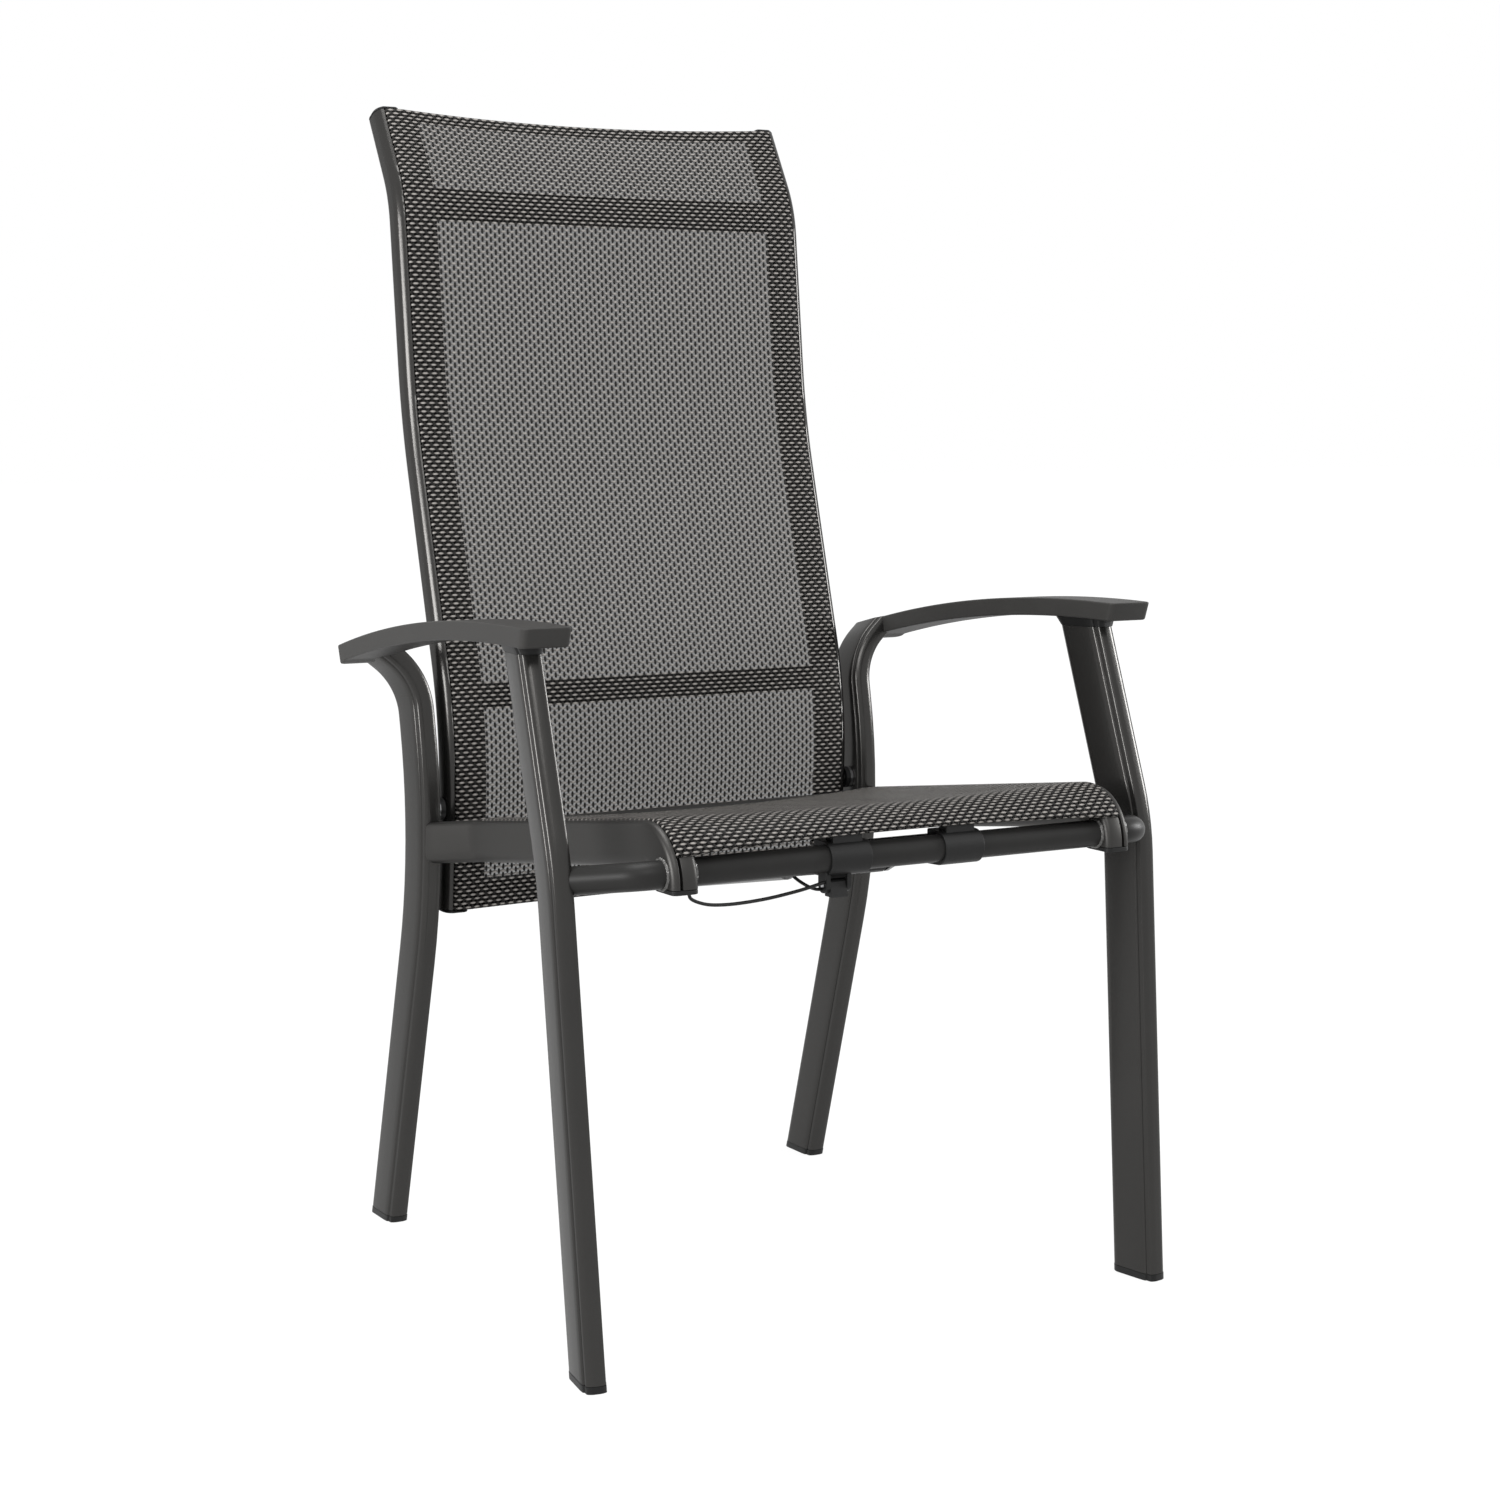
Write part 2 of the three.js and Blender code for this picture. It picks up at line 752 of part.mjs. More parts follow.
function makeSlings() {
  const backMiddle = backRouteAt(0);
  const startAt = backMiddle.atHeight(backSlingLowZ);
  backMiddle.stations = [startAt, ...backMiddle.stations.filter((station) => station.z > backSlingLowZ + gap)];
  place("back_sling", sweep(slingOutline(backChannelX, backTubeDeep / 2), backMiddle), mesh);

  // The seat sling follows the rails, and its front hem rises to the middle
  const railMiddle = new BentRoute(
    [
      new THREE.Vector3(0, frontBarY, railEndZ),
      new THREE.Vector3(0, frontBarY, railHeight(frontBarY)),
      new THREE.Vector3(0, seatSlingRearY, railHeight(seatSlingRearY)),
    ],
    [railNoseRadius],
  );
  const sling = sweep(slingOutline(seatChannelX, railTall / 2), railMiddle);
  const side = seatChannelX + overrun;
  const hem = new THREE.Shape();
  hem.moveTo(-side, 0);
  hem.lineTo(side, 0);
  hem.lineTo(side, seatSlingFrontZ);
  hem.lineTo(seatChannelX, seatSlingFrontZ);
  hem.quadraticCurveTo(0, 2 * seatSlingMiddleZ - seatSlingFrontZ, -seatChannelX, seatSlingFrontZ);
  hem.lineTo(-side, seatSlingFrontZ);
  const belowHem = new THREE.ExtrudeGeometry(hem, {
    depth: overrun,
    bevelEnabled: false,
    curveSegments: hemPieces,
  });
  belowHem.rotateX(Math.PI / 2);
  belowHem.translate(0, frontBarY, 0);
  place("seat_sling", cut(sling, belowHem), mesh);
}

function makePivots() {
  const pivot = backRoute.atHeight(pivotZ);
  const legFace = rearLegRoute.atHeight(pivotZ).x - legThick / 2 - gap;
  const nutFace = backOuterX - backTubeWide - gap;
  const shank = rodAlongX(pivotRadius, nutFace - pivotNutThick, legFace, pivot.y, pivot.z);
  const head = rodAlongX(pivotHeadRadius, legFace - pivotHeadThick, legFace, pivot.y, pivot.z);
  placePair("pivot_stud", join(head, shank), steel);

  const washer = rodAlongX(
    pivotHeadRadius,
    backOuterX + gap,
    legFace - pivotHeadThick - gap,
    pivot.y,
    pivot.z,
    barSides,
  );
  const hole = rodAlongX(pivotRadius + runningGap, 0, legFace + overrun, pivot.y, pivot.z);
  placePair("pivot_spacer", cut(washer, hole), blackPlastic);
  const nut = rodAlongX(pivotNutRadius, nutFace - pivotNutThick, nutFace, pivot.y, pivot.z, nutSides);
  placePair("pivot_nut", cut(nut, hole), steel);
}

function makeClampsAndYoke() {
  const backY = frontBarY + clampDeep / 2;
  const bore = rodAlongX(seatBarRadius + gap, -railX, railX, frontBarY, seatBarZ, barSides);
  const bodyAt = (x) => {
    const low = seatBarZ - clampTall / 2;
    const high = seatBarZ + clampTall / 2;
    const block = box(x - clampWide / 2, x + clampWide / 2, frontBarY - clampDeep / 2, backY, low, high);
    const lug = box(
      x - clampLugWide / 2,
      x + clampLugWide / 2,
      frontBarY - clampLugDeep / 2,
      frontBarY + clampLugDeep / 2,
      seatBarZ,
      high + clampLugHeight,
    );
    return join(block, lug);
  };
  place("bar_clamp_right", cut(bodyAt(clampX), bore), blackPlastic);

  const pin = rodAlongX(leverPinRadius + gap, -railX, 0, frontBarY, leverPinZ);
  const ears = [-1, 1].map((side) => {
    const inner = leverX + side * (leverWide / 2 + gap);
    const outer = inner + side * leverEarThick;
    const shape = new THREE.Shape();
    shape.moveTo(frontBarY + leverEarRadius, seatBarZ - seatBarRadius - 2 * gap);
    shape.lineTo(frontBarY + leverEarRadius, leverPinZ);
    shape.absarc(frontBarY, leverPinZ, leverEarRadius, 0, -Math.PI, true);
    shape.lineTo(frontBarY - leverEarRadius, seatBarZ - seatBarRadius - 2 * gap);
    return sideBlock(shape, Math.min(inner, outer), Math.max(inner, outer));
  });
  place("bar_clamp_left", cut(join(bodyAt(-clampX), ...ears), bore, pin), blackPlastic);

  const leverSide = new THREE.Shape();
  leverSide.absarc(frontBarY, leverPinZ, leverRootRadius, 0, Math.PI);
  leverSide.lineTo(frontBarY - leverTipReach, leverPinZ - leverLength);
  leverSide.lineTo(frontBarY + leverRootRadius / 2, leverPinZ - leverLength);
  const lever = sideBlock(leverSide, leverX - leverWide / 2, leverX + leverWide / 2);
  place("release_lever", cut(lever, pin), blackPlastic);
  const pinReach = leverWide / 2 + leverEarThick + 2 * gap;
  const leverPin = rodAlongX(leverPinRadius, leverX - pinReach, leverX + pinReach, frontBarY, leverPinZ);
  place("release_lever_pin", leverPin, steel);

  const yokeY = backY + gap;
  const half = clampX + clampWide / 2;
  const yokeLow = seatBarZ - yokeTall / 2;
  const yokeHigh = seatBarZ + yokeTall / 2;
  const plate = box(-half, half, yokeY, yokeY + yokeThick, yokeLow, yokeHigh);
  const arms = [-1, 1].map((side) => {
    const inner = side * (yokeEarSpread / 2);
    const outer = inner + side * yokeThick;
    const shape = earOutline(frontPinY, frontPinZ, earRadius, yokeY + yokeThick / 2, yokeLow, yokeHigh);
    return sideBlock(shape, Math.min(inner, outer), Math.max(inner, outer));
  });
  const hole = rodAlongX(springPinRadius + gap, -half, half, frontPinY, frontPinZ);
  place("spring_yoke", cut(join(plate, ...arms), hole), blackSteel);
  const yokePinReach = yokeEarSpread / 2 + yokeThick + gap;
  const yokePin = rodAlongX(springPinRadius, -yokePinReach, yokePinReach, frontPinY, frontPinZ);
  place("spring_front_pin", yokePin, steel);
}

// The gas spring lies along its own +Y, from the front pin to the rear pin
function makeGasSpring() {
  const span = Math.hypot(rearPinY - frontPinY, rearPinZ - frontPinZ);
  const lean = Math.atan2(rearPinZ - frontPinZ, rearPinY - frontPinY);
  const spring = new THREE.Group();
  spring.position.set(0, frontPinY, frontPinZ);
  spring.rotation.x = lean;
  chair.add(spring);

  const hole = rodAlongX(springPinRadius + gap, -springHeadWide, springHeadWide, 0, 0);
  const rear = springHeadLength - springHeadTall / 2;
  const headSide = new THREE.Shape();
  headSide.moveTo(0, springHeadTall / 2);
  headSide.absarc(0, 0, springHeadTall / 2, Math.PI / 2, Math.PI * 1.5);
  headSide.lineTo(rear, -springHeadTall / 2);
  headSide.lineTo(rear, springHeadTall / 2);
  const head = sideBlock(headSide, -springHeadWide / 2, springHeadWide / 2);
  place("spring_release_head", cut(head, hole), blackPlastic, spring);

  const tubeEnd = span - springEyeRadius - springEyeWide / 2;
  const tubeStart = tubeEnd - springTubeLength;
  const mouth = springRodRadius + runningGap;
  const rimRadius = springTubeRadius - springRodRadius / 2;
  const boreEnd = tubeEnd - springTubeRadius;
  const tubeProfile = [
    [0, tubeEnd],
    [0, boreEnd],
    [mouth, boreEnd],
    [mouth, tubeStart],
    [rimRadius, tubeStart],
    [springTubeRadius, tubeStart + springRodRadius],
    [springTubeRadius, tubeEnd - springRodRadius],
    [rimRadius, tubeEnd],
    [0, tubeEnd],
  ];
  const tube = new THREE.LatheGeometry(tubeProfile.map(([r, y]) => new THREE.Vector2(r, y)), barSides);
  const eye = rodAlongX(springEyeRadius, -springEyeWide / 2, springEyeWide / 2, span, 0, barSides);
  const eyeHole = rodAlongX(springEyeBore, -springEyeWide, springEyeWide, span, 0);
  const neck = new THREE.CylinderGeometry(springEyeBore, springEyeBore, springEyeRadius * 2, pinSides);
  neck.translate(0, span - springEyeRadius, 0);
  place("spring_cylinder", cut(join(tube, eye, neck), eyeHole), blackSteel, spring);

  const rodEnd = boreEnd - springStroke;
  const rodLength = rodEnd - rear - gap;
  const rod = new THREE.CylinderGeometry(springRodRadius, springRodRadius, rodLength, pinSides);
  place("spring_rod", rod.translate(0, rear + gap + rodLength / 2, 0), steel, spring);
}

function makeRearBracket() {
  const at = backRoute.atHeight(bottomBarZ);
  const lean = backRoute.leanAt(bottomBarZ);
  const wallY = at.y - bottomBarDeep / 2 - gap;
  const low = bottomBarZ - bottomBarTall / 2 + backBarRadius;
  const high = bottomBarZ + bottomBarTall / 2 - backBarRadius;
  const half = bracketSpread / 2 + bracketThick;
  const plate = box(-half, half, wallY - bracketThick, wallY, low, high);
  plate.translate(0, -at.y, -at.z).rotateX(-lean).translate(0, at.y, at.z);
  const ears = [-1, 1].map((side) => {
    const inner = (side * bracketSpread) / 2;
    const outer = inner + side * bracketThick;
    const shape = earOutline(rearPinY, rearPinZ, earRadius, wallY - bracketThick / 2, low, high);
    return sideBlock(shape, Math.min(inner, outer), Math.max(inner, outer));
  });
  const hole = rodAlongX(springPinRadius + gap, -half, half, rearPinY, rearPinZ);
  place("spring_rear_bracket", cut(join(plate, ...ears), hole), blackSteel);
  const pin = rodAlongX(springPinRadius, -half - gap, half + gap, rearPinY, rearPinZ);
  place("spring_rear_pin", pin, steel);
}

makeLegs();
makeArmrests();
makeRails();
makeSeatBars();
makeBackFrame();
makeSlings();
makePivots();
makeClampsAndYoke();
makeGasSpring();
makeRearBracket();

// The cables' points are chosen by hand along the way they take under the front bar
const leverSideX = leverX - leverWide / 2 - leverEarThick - 2 * gap;
const cableRoutes = {
  release_cable_rail: [
    [leverSideX, frontBarY - 4, 408],
    [-84, frontBarY - 4, 407],
    [-97, frontBarY - 3, 404],
    [-111, frontBarY - 2, 401.5],
    [-131, frontBarY - 2, 399],
    [-152, frontBarY - 4, 398],
    [-172, frontBarY - 6, 398],
    [-190, frontBarY - 8, 399.5],
    [-202, frontBarY - 9, 402.5],
    [-210, frontBarY - 9, 406.5],
    [-212, frontBarY - 9, railEndZ - railCapHeight - 3 * gap],
  ],
  release_cable_spring: [
    [leverSideX, frontBarY + 2.5, 401],
    [-84, frontBarY + 2, 401.7],
    [-90, frontBarY + 3, 404],
    [-94.5, frontBarY + 11, 408],
    [-95.5, frontBarY + 20, 411.5],
    [-90, frontBarY + 34, 413],
    [-70, frontBarY + 50, 412],
    [-40, springCableY - cableStep, 408],
    [-21, springCableY, springCableZ + gap],
    [-springHeadWide / 2 - 2 * gap, springCableY, springCableZ],
  ],
};

function makeCables() {
  const section = new THREE.Shape().absarc(0, 0, cableRadius, 0, Math.PI * 2);
  for (const [name, points] of Object.entries(cableRoutes)) {
    const line = new THREE.CatmullRomCurve3(points.map((point) => new THREE.Vector3(...point)));
    const steps = Math.round(line.getLength() / cableStep);
    const cable = new THREE.ExtrudeGeometry(section, { extrudePath: line, steps, curveSegments: cableSides });
    place(name, cable, blackPlastic);
  }
}

makeCables();

// The origin is on the floor under the middle of the whole chair
chair.updateMatrixWorld(true);
const bounds = new THREE.Box3().setFromObject(chair);
chair.position.y = -(bounds.min.y + bounds.max.y) / 2;
chair.position.z = -bounds.min.z;

export default chair;
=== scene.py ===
# %% [markdown]
# # A sling patio chair in Blender
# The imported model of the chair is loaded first. It holds the bodies that move, their joints and a plain solid for
# every part. Everything made here is placed in the same frame, in metres, and rides on those bodies.

# %% Load the frame
import math

import bmesh
import bpy
from mathutils import Matrix, Vector


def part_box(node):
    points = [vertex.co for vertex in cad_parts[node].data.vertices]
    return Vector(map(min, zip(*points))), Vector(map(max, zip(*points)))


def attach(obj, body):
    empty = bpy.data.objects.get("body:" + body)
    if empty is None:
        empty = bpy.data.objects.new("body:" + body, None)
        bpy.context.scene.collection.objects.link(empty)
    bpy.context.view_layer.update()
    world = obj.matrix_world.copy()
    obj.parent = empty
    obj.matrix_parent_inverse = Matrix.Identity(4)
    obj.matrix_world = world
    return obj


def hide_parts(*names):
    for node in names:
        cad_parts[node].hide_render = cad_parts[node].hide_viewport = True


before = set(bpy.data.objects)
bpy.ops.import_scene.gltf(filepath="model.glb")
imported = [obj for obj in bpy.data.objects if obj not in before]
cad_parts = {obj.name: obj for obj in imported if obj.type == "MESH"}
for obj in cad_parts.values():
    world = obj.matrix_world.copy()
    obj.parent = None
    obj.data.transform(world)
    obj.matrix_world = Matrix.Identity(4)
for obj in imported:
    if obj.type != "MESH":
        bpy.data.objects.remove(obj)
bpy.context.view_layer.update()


# %% [markdown]
# Sizes are written in millimetres, as a maker would. The chair's own drawing has its zero line between the legs,
# while the frame's origin is under the middle of the whole outline. The front bar's place in the frame gives the step
# between the two, so one helper turns a drawn point into a place in the scene.

# %% Places in the maker's millimetres
MM = 0.001
FRONT_BAR_Y = -260.5
bar_low, bar_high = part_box("seat_front_bar")
drawing_step = (bar_low[1] + bar_high[1]) / 2 - FRONT_BAR_Y * MM


def at(x, y, z):
    return Vector((x * MM, y * MM + drawing_step, z * MM))


print("step between drawing and frame:", round(drawing_step / MM, 2), "mm")

# %% [markdown]
# The camera stands where the photographer stood: in front of the chair and to its left, above the armrests and tilted
# slightly down. A long lens keeps the legs from spreading. Making it first helps, since everything else is
# judged through it.

# %% Camera
FRAME_PIXELS = 1500
FOCAL_PIXELS = 2701
SENSOR = 36
camera = bpy.data.objects.new("camera", bpy.data.cameras.new("camera"))
camera.data.sensor_width = SENSOR
camera.data.lens = FOCAL_PIXELS / FRAME_PIXELS * SENSOR
camera.data.clip_end = 200
camera.location = at(-1260, -2163, 795)
camera.rotation_euler = (math.radians(90 - 7.02), 0, math.radians(-30.28))
bpy.context.scene.collection.objects.link(camera)
bpy.context.scene.camera = camera
print("lens:", round(camera.data.lens, 1), "mm")

# %% [markdown]
# ## Shader maths as Python
# A procedural material is a sum of small steps. Wiring each Math node by hand hides the idea, so a socket is wrapped
# in a small class whose operators add the nodes. `wave * 2 + 1` then reads as what it is.


# %% A socket with operators
class Value:
    def __init__(self, tree, socket):
        self.tree = tree
        self.socket = socket

    def node(self, kind, settings=None, output=0, **sockets):
        made = self.tree.nodes.new(kind)
        for key, setting in (settings or {}).items():
            setattr(made, key, setting)
        for key, given in sockets.items():
            target = made.inputs[int(key[1:])] if key[1:].isdigit() else made.inputs[key.replace("_", " ")]
            if isinstance(given, Value):
                self.tree.links.new(given.socket, target)
            else:
                target.default_value = given
        return Value(self.tree, made.outputs[output])

    def math(self, operation, *others):
        sockets = {f"i{k}": other for k, other in enumerate((self, *others))}
        return self.node("ShaderNodeMath", {"operation": operation}, **sockets)

    def __add__(self, other):
        return self.math("ADD", other)

    def __mul__(self, other):
        return self.math("MULTIPLY", other)

    def __sub__(self, other):
        return self.math("SUBTRACT", other)

    def __rsub__(self, other):
        return self * -1 + other

    def __truediv__(self, other):
        return self.math("DIVIDE", other)

    def __lt__(self, other):
        return self.math("LESS_THAN", other)

    def __gt__(self, other):
        return self.math("GREATER_THAN", other)

    def floor(self):
        return self.math("FLOOR")

    def fraction(self):
        return self.math("FRACT")

    def size(self):
        return self.math("ABSOLUTE")

    def clamped(self):
        return self.math("MINIMUM", 1.0).math("MAXIMUM", 0.0)

    def mix(self, low, high):
        """A colour between two, by this value."""
        return self.node(
            "ShaderNodeMix", {"data_type": "RGBA"}, output=2, Factor=self, i6=low, i7=high
        )


def linear(red, green, blue):
    """A colour as a screen shows it, made linear."""
    def one(level):
        return level / 12.92 if level <= 0.04045 else ((level + 0.055) / 1.055) ** 2.4
    return (one(red), one(green), one(blue), 1.0)


# %% [markdown]
# Every finish starts from the same few nodes: a Principled shader, an output, and either the piece's own coordinates
# or its UV map in metres. `finish_start` makes them, and hands back the wrapped coordinate sockets.


# %% Starting a finish
def finish_start(name, surface="Object"):
    finish = bpy.data.materials.new(name)
    finish.use_nodes = True
    tree = finish.node_tree
    shader = tree.nodes["Principled BSDF"]
    coordinate = tree.nodes.new("ShaderNodeTexCoord")
    place = Value(tree, coordinate.outputs[surface])
    return finish, tree, shader, place


def join(tree, value, shader, socket):
    tree.links.new(value.socket, shader.inputs[socket])


def bump_to(tree, shader, height, depth, strength=1.0):
    bump = height.node("ShaderNodeBump", Strength=strength, Distance=depth, Height=height)
    join(tree, bump, shader, "Normal")


# %% [markdown]
# ### Anthracite coat of the tubes
# The tubes are aluminium with a metallic anthracite powder coat. It is dark where it faces the room and flares to
# white along every rounded corner. A mostly metallic shader with a low base colour does this, and a grey specular tint
# holds back the glare at glancing angles. Three noises give the flakes, broad clouds and a slight orange peel. The
# seat rails have the same coat, only rougher.

# %% Tube coat
COAT = linear(0.195, 0.192, 0.188)
COAT_WORN = linear(0.24, 0.237, 0.232)


def metal_coat(name, roughness):
    finish, tree, shader, place = finish_start(name)
    flakes = place.node("ShaderNodeTexNoise", Vector=place, Scale=2600.0, Detail=1.0)
    clouds = place.node("ShaderNodeTexNoise", Vector=place, Scale=14.0, Detail=3.0)
    peel = place.node("ShaderNodeTexNoise", Vector=place, Scale=420.0, Detail=2.0)
    join(tree, (flakes * 0.7 + clouds * 0.3).mix(COAT, COAT_WORN), shader, "Base Color")
    join(tree, clouds * 0.06 + flakes * 0.05 + roughness, shader, "Roughness")
    shader.inputs["Metallic"].default_value = 0.75
    shader.inputs["Specular IOR Level"].default_value = 0.38
    shader.inputs["Specular Tint"].default_value = (0.6, 0.6, 0.6, 1)
    bump_to(tree, shader, peel + flakes * 0.3, 0.00003)
    print("made", name)
    return finish


tube_coat = metal_coat("anthracite_coat", 0.16)
rail_coat = metal_coat("anthracite_coat_rail", 0.36)

# %% [markdown]
# ### Armrest, black plastic and metal hardware
# The armrests have a matte coat with a fine grain. The caps, collars and clamps are moulded black plastic. Pins and
# nuts are zinc plated, and the gas spring's tube is lacquered black.


# %% Plain finishes with a grain
def grained(name, dark, light, roughness, spread, metallic, grain, depth, gloss=0.5):
    finish, tree, shader, place = finish_start(name)
    fine = place.node("ShaderNodeTexNoise", Vector=place, Scale=grain, Detail=2.0)
    broad = place.node("ShaderNodeTexNoise", Vector=place, Scale=grain / 40, Detail=3.0)
    join(tree, (fine * 0.5 + broad * 0.5).mix(dark, light), shader, "Base Color")
    join(tree, broad * spread + fine * spread + (roughness - spread), shader, "Roughness")
    shader.inputs["Metallic"].default_value = metallic
    shader.inputs["Specular IOR Level"].default_value = gloss
    bump_to(tree, shader, fine, depth)
    print("made", name)
    return finish


armrest_coat = grained(
    "armrest_coat", linear(0.155, 0.153, 0.15), linear(0.195, 0.192, 0.187), 0.5, 0.05, 0.0, 1500, 0.00008, 0.12
)
black_plastic = grained(
    "black_plastic", linear(0.03, 0.03, 0.03), linear(0.06, 0.06, 0.06), 0.5, 0.08, 0.0, 1800, 0.00008, 0.25
)
# The bars and links have the tubes' anthracite coat. This darker, duller copy of it is painted shade, for the shade
# they sit in under the seat and behind the sling.
painted_shade_bar_coat = grained(
    "painted_shade_bar_coat", linear(0.1, 0.099, 0.097), linear(0.14, 0.138, 0.135), 0.42, 0.06, 0.0, 1500, 0.00005, 0.12
)
zinc = grained("zinc_plate", linear(0.6, 0.6, 0.61), linear(0.75, 0.75, 0.75), 0.3, 0.08, 1.0, 900, 0.00003)
black_lacquer = grained(
    "black_lacquer", linear(0.1, 0.1, 0.1), linear(0.14, 0.14, 0.14), 0.28, 0.05, 0.3, 1200, 0.00003
)
weld_bead = grained(
    "weld_bead", linear(0.24, 0.24, 0.235), linear(0.36, 0.355, 0.35), 0.35, 0.1, 0.5, 700, 0.0003
)

# %% [markdown]
# ### The woven mesh
# The slings are a coarse plain weave of coated yarn: taupe pairs run across, black pairs run up and down, and small
# windows stay open at the crossings. The pattern is a chequer of cells. In one kind of cell the taupe pair lies on
# top, in the other the black pair does, and what neither covers is a window. A window isn't fully clear: `gap_cover`
# is its cover, about half in the single cloth and nearly all of it in a hem. The UV map is in metres, so the cells
# have one size on every part of a sling.

# %% Woven mesh
CELL_ACROSS = 4.65 * MM
CELL_ALONG = 4.1 * MM
# Each yarn has its own colour and a lighter tone for its crowns, which is a painted highlight.
TAUPE = linear(0.45, 0.437, 0.424)
TAUPE_HIGHLIGHT = linear(0.585, 0.57, 0.555)
BLACK_YARN = linear(0.085, 0.083, 0.081)
BLACK_HIGHLIGHT = linear(0.17, 0.167, 0.163)
GAP_SHADE = linear(0.07, 0.069, 0.068)
GAP_COVER = 0.51


def woven_mesh(name, gap_shade, gap_cover):
    finish, tree, shader, place = finish_start(name, "UV")
    split = place.node("ShaderNodeSeparateXYZ", Vector=place)
    across = split / CELL_ACROSS
    along = Value(tree, split.socket.node.outputs[1]) / CELL_ALONG
    wander = place.node("ShaderNodeTexNoise", Vector=place, Scale=60.0, Detail=2.0)
    across = across + (wander - 0.5) * 0.25
    row_shift = (across.floor() + along.floor()) / 2
    odd = row_shift.fraction() > 0.25
    even = 1 - odd
    x = (across.fraction() - 0.5).size()
    y = (along.fraction() - 0.5).size()
    # Each yarn is full where it is on top and thins out where it dives under the other
    taupe_half = even * (0.27 - x * x * 0.3) + odd * (x - 0.18) * 0.5
    black_half = odd * (0.25 - y * y * 0.16) + even * (y - 0.28) * 0.6
    on_taupe = y < taupe_half
    on_black = x < black_half
    taupe_top = on_taupe * (even + odd * (1 - on_black))
    covered = (on_taupe + on_black).clamped()
    black_top = covered - taupe_top
    # The groove between the two yarns of a pair, and the round of each
    groove = ((y - 0.02) * 20).clamped() * 0.2 + 0.8
    taupe_round = 1 - (y / 0.33) * (y / 0.33) - x * x * 1.8
    black_round = 1 - (x / 0.3) * (x / 0.3) - y * y * 1.8
    height = taupe_top * taupe_round * (even * 0.6 + 0.4) * groove
    height = height + black_top * black_round * (odd * 0.6 + 0.4)
    # A noise and the yarn's height lift each yarn's colour towards its lighter tone: a random tone together with a
    # painted highlight on the yarns' crowns. The multiply by `shadow` darkens the low parts and the windows, which is
    # painted shade.
    sparkle = place.node("ShaderNodeTexNoise", Vector=place, Scale=500.0, Detail=1.0)
    taupe = (sparkle * height * 1.2).clamped().mix(TAUPE, TAUPE_HIGHLIGHT)
    black = (sparkle * height).clamped().mix(BLACK_YARN, BLACK_HIGHLIGHT)
    shade = (height * 0.8 + 0.35).clamped()
    shadow = shade.mix((0.0, 0.0, 0.0, 1.0), (1.0, 1.0, 1.0, 1.0))
    yarn = covered.mix(gap_shade, taupe_top.mix(black, taupe))
    yarn = yarn.node(
        "ShaderNodeMix", {"data_type": "RGBA", "blend_type": "MULTIPLY"}, output=2, Factor=1.0, i6=yarn, i7=shadow
    )
    join(tree, yarn, shader, "Base Color")
    join(tree, covered * (1 - gap_cover) + gap_cover, shader, "Alpha")
    join(tree, sparkle * 0.1 + 0.5, shader, "Roughness")
    shader.inputs["Specular IOR Level"].default_value = 0.06
    bump_to(tree, shader, height, 0.0008, 0.7)
    print("made", name)
    return finish


mesh_weave = woven_mesh("woven_mesh", GAP_SHADE, GAP_COVER)
hem_weave = woven_mesh("woven_hem", linear(0.42, 0.41, 0.4), 0.95)

# %% [markdown]
# ## Bending tubes
# Most of the chair is bent tube, so the main helper works as a tube bender does. It starts from an outline, pushes it
# straight on, swings it round a centre for each bend, and so on to the end. Extrude does the pushing and spin does
# the bending, which gives true arcs with an even wall.


# %% Outline, push and bend
def outline(bm, corners):
    """A closed ring from corners (x, y, rounding, steps)."""
    verts = [bm.verts.new((x * MM, y * MM, 0)) for x, y, _, _ in corners]
    for first, second in zip(verts, verts[1:] + verts[:1]):
        bm.edges.new((first, second))
    for vert, (_, _, rounding, steps) in zip(verts, corners):
        if rounding:
            bmesh.ops.bevel(
                bm, geom=[vert], offset=rounding * MM, offset_type="OFFSET", segments=steps,
                profile=0.5, affect="VERTICES", material=-1,
            )


def only(kind, items):
    return [item for item in items if isinstance(item, kind)]


def push(bm, ring, step):
    made = bmesh.ops.extrude_edge_only(bm, edges=ring)["geom"]
    ends = only(bmesh.types.BMVert, made)
    bmesh.ops.translate(bm, vec=step, verts=ends)
    kept = set(ends)
    return [edge for edge in only(bmesh.types.BMEdge, made) if all(vert in kept for vert in edge.verts)]


def bend_run(bm, corners, radii, across, step_angle=3.0):
    """Carries the ring in bm along corners, with round bends. Its x points to `across` at the start."""
    heading = (corners[1] - corners[0]).normalized()
    side = (across - heading * across.dot(heading)).normalized()
    turn_in = Matrix((side, heading.cross(side), heading)).transposed().to_4x4()
    turn_in.translation = corners[0]
    bmesh.ops.transform(bm, matrix=turn_in, verts=bm.verts)
    ring = list(bm.edges)
    here = corners[0]
    for corner, after, radius in zip(corners[1:-1], corners[2:], radii):
        heading = (corner - here).normalized()
        leaving = (after - corner).normalized()
        angle = heading.angle(leaving)
        reach = radius * math.tan(angle / 2)
        start = corner - heading * reach
        ring = push(bm, ring, start - here)
        axis = heading.cross(leaving).normalized()
        spun = bmesh.ops.spin(
            bm, geom=ring, cent=start + axis.cross(heading) * radius, axis=axis, dvec=(0, 0, 0), angle=angle,
            steps=max(3, math.ceil(math.degrees(angle) / step_angle)), use_merge=False,
            use_normal_flip=False, use_duplicate=False,
        )
        ring = only(bmesh.types.BMEdge, spun["geom_last"])
        here = corner + leaving * reach
    return push(bm, ring, corners[-1] - here)


# %% [markdown]
# A bent run is open at both ends. Its ends are cut to a plane, as a saw would, and closed. Then the mesh becomes an
# object: smooth over its round faces, sharp at its real edges, with a small bevel on these so that they catch light.


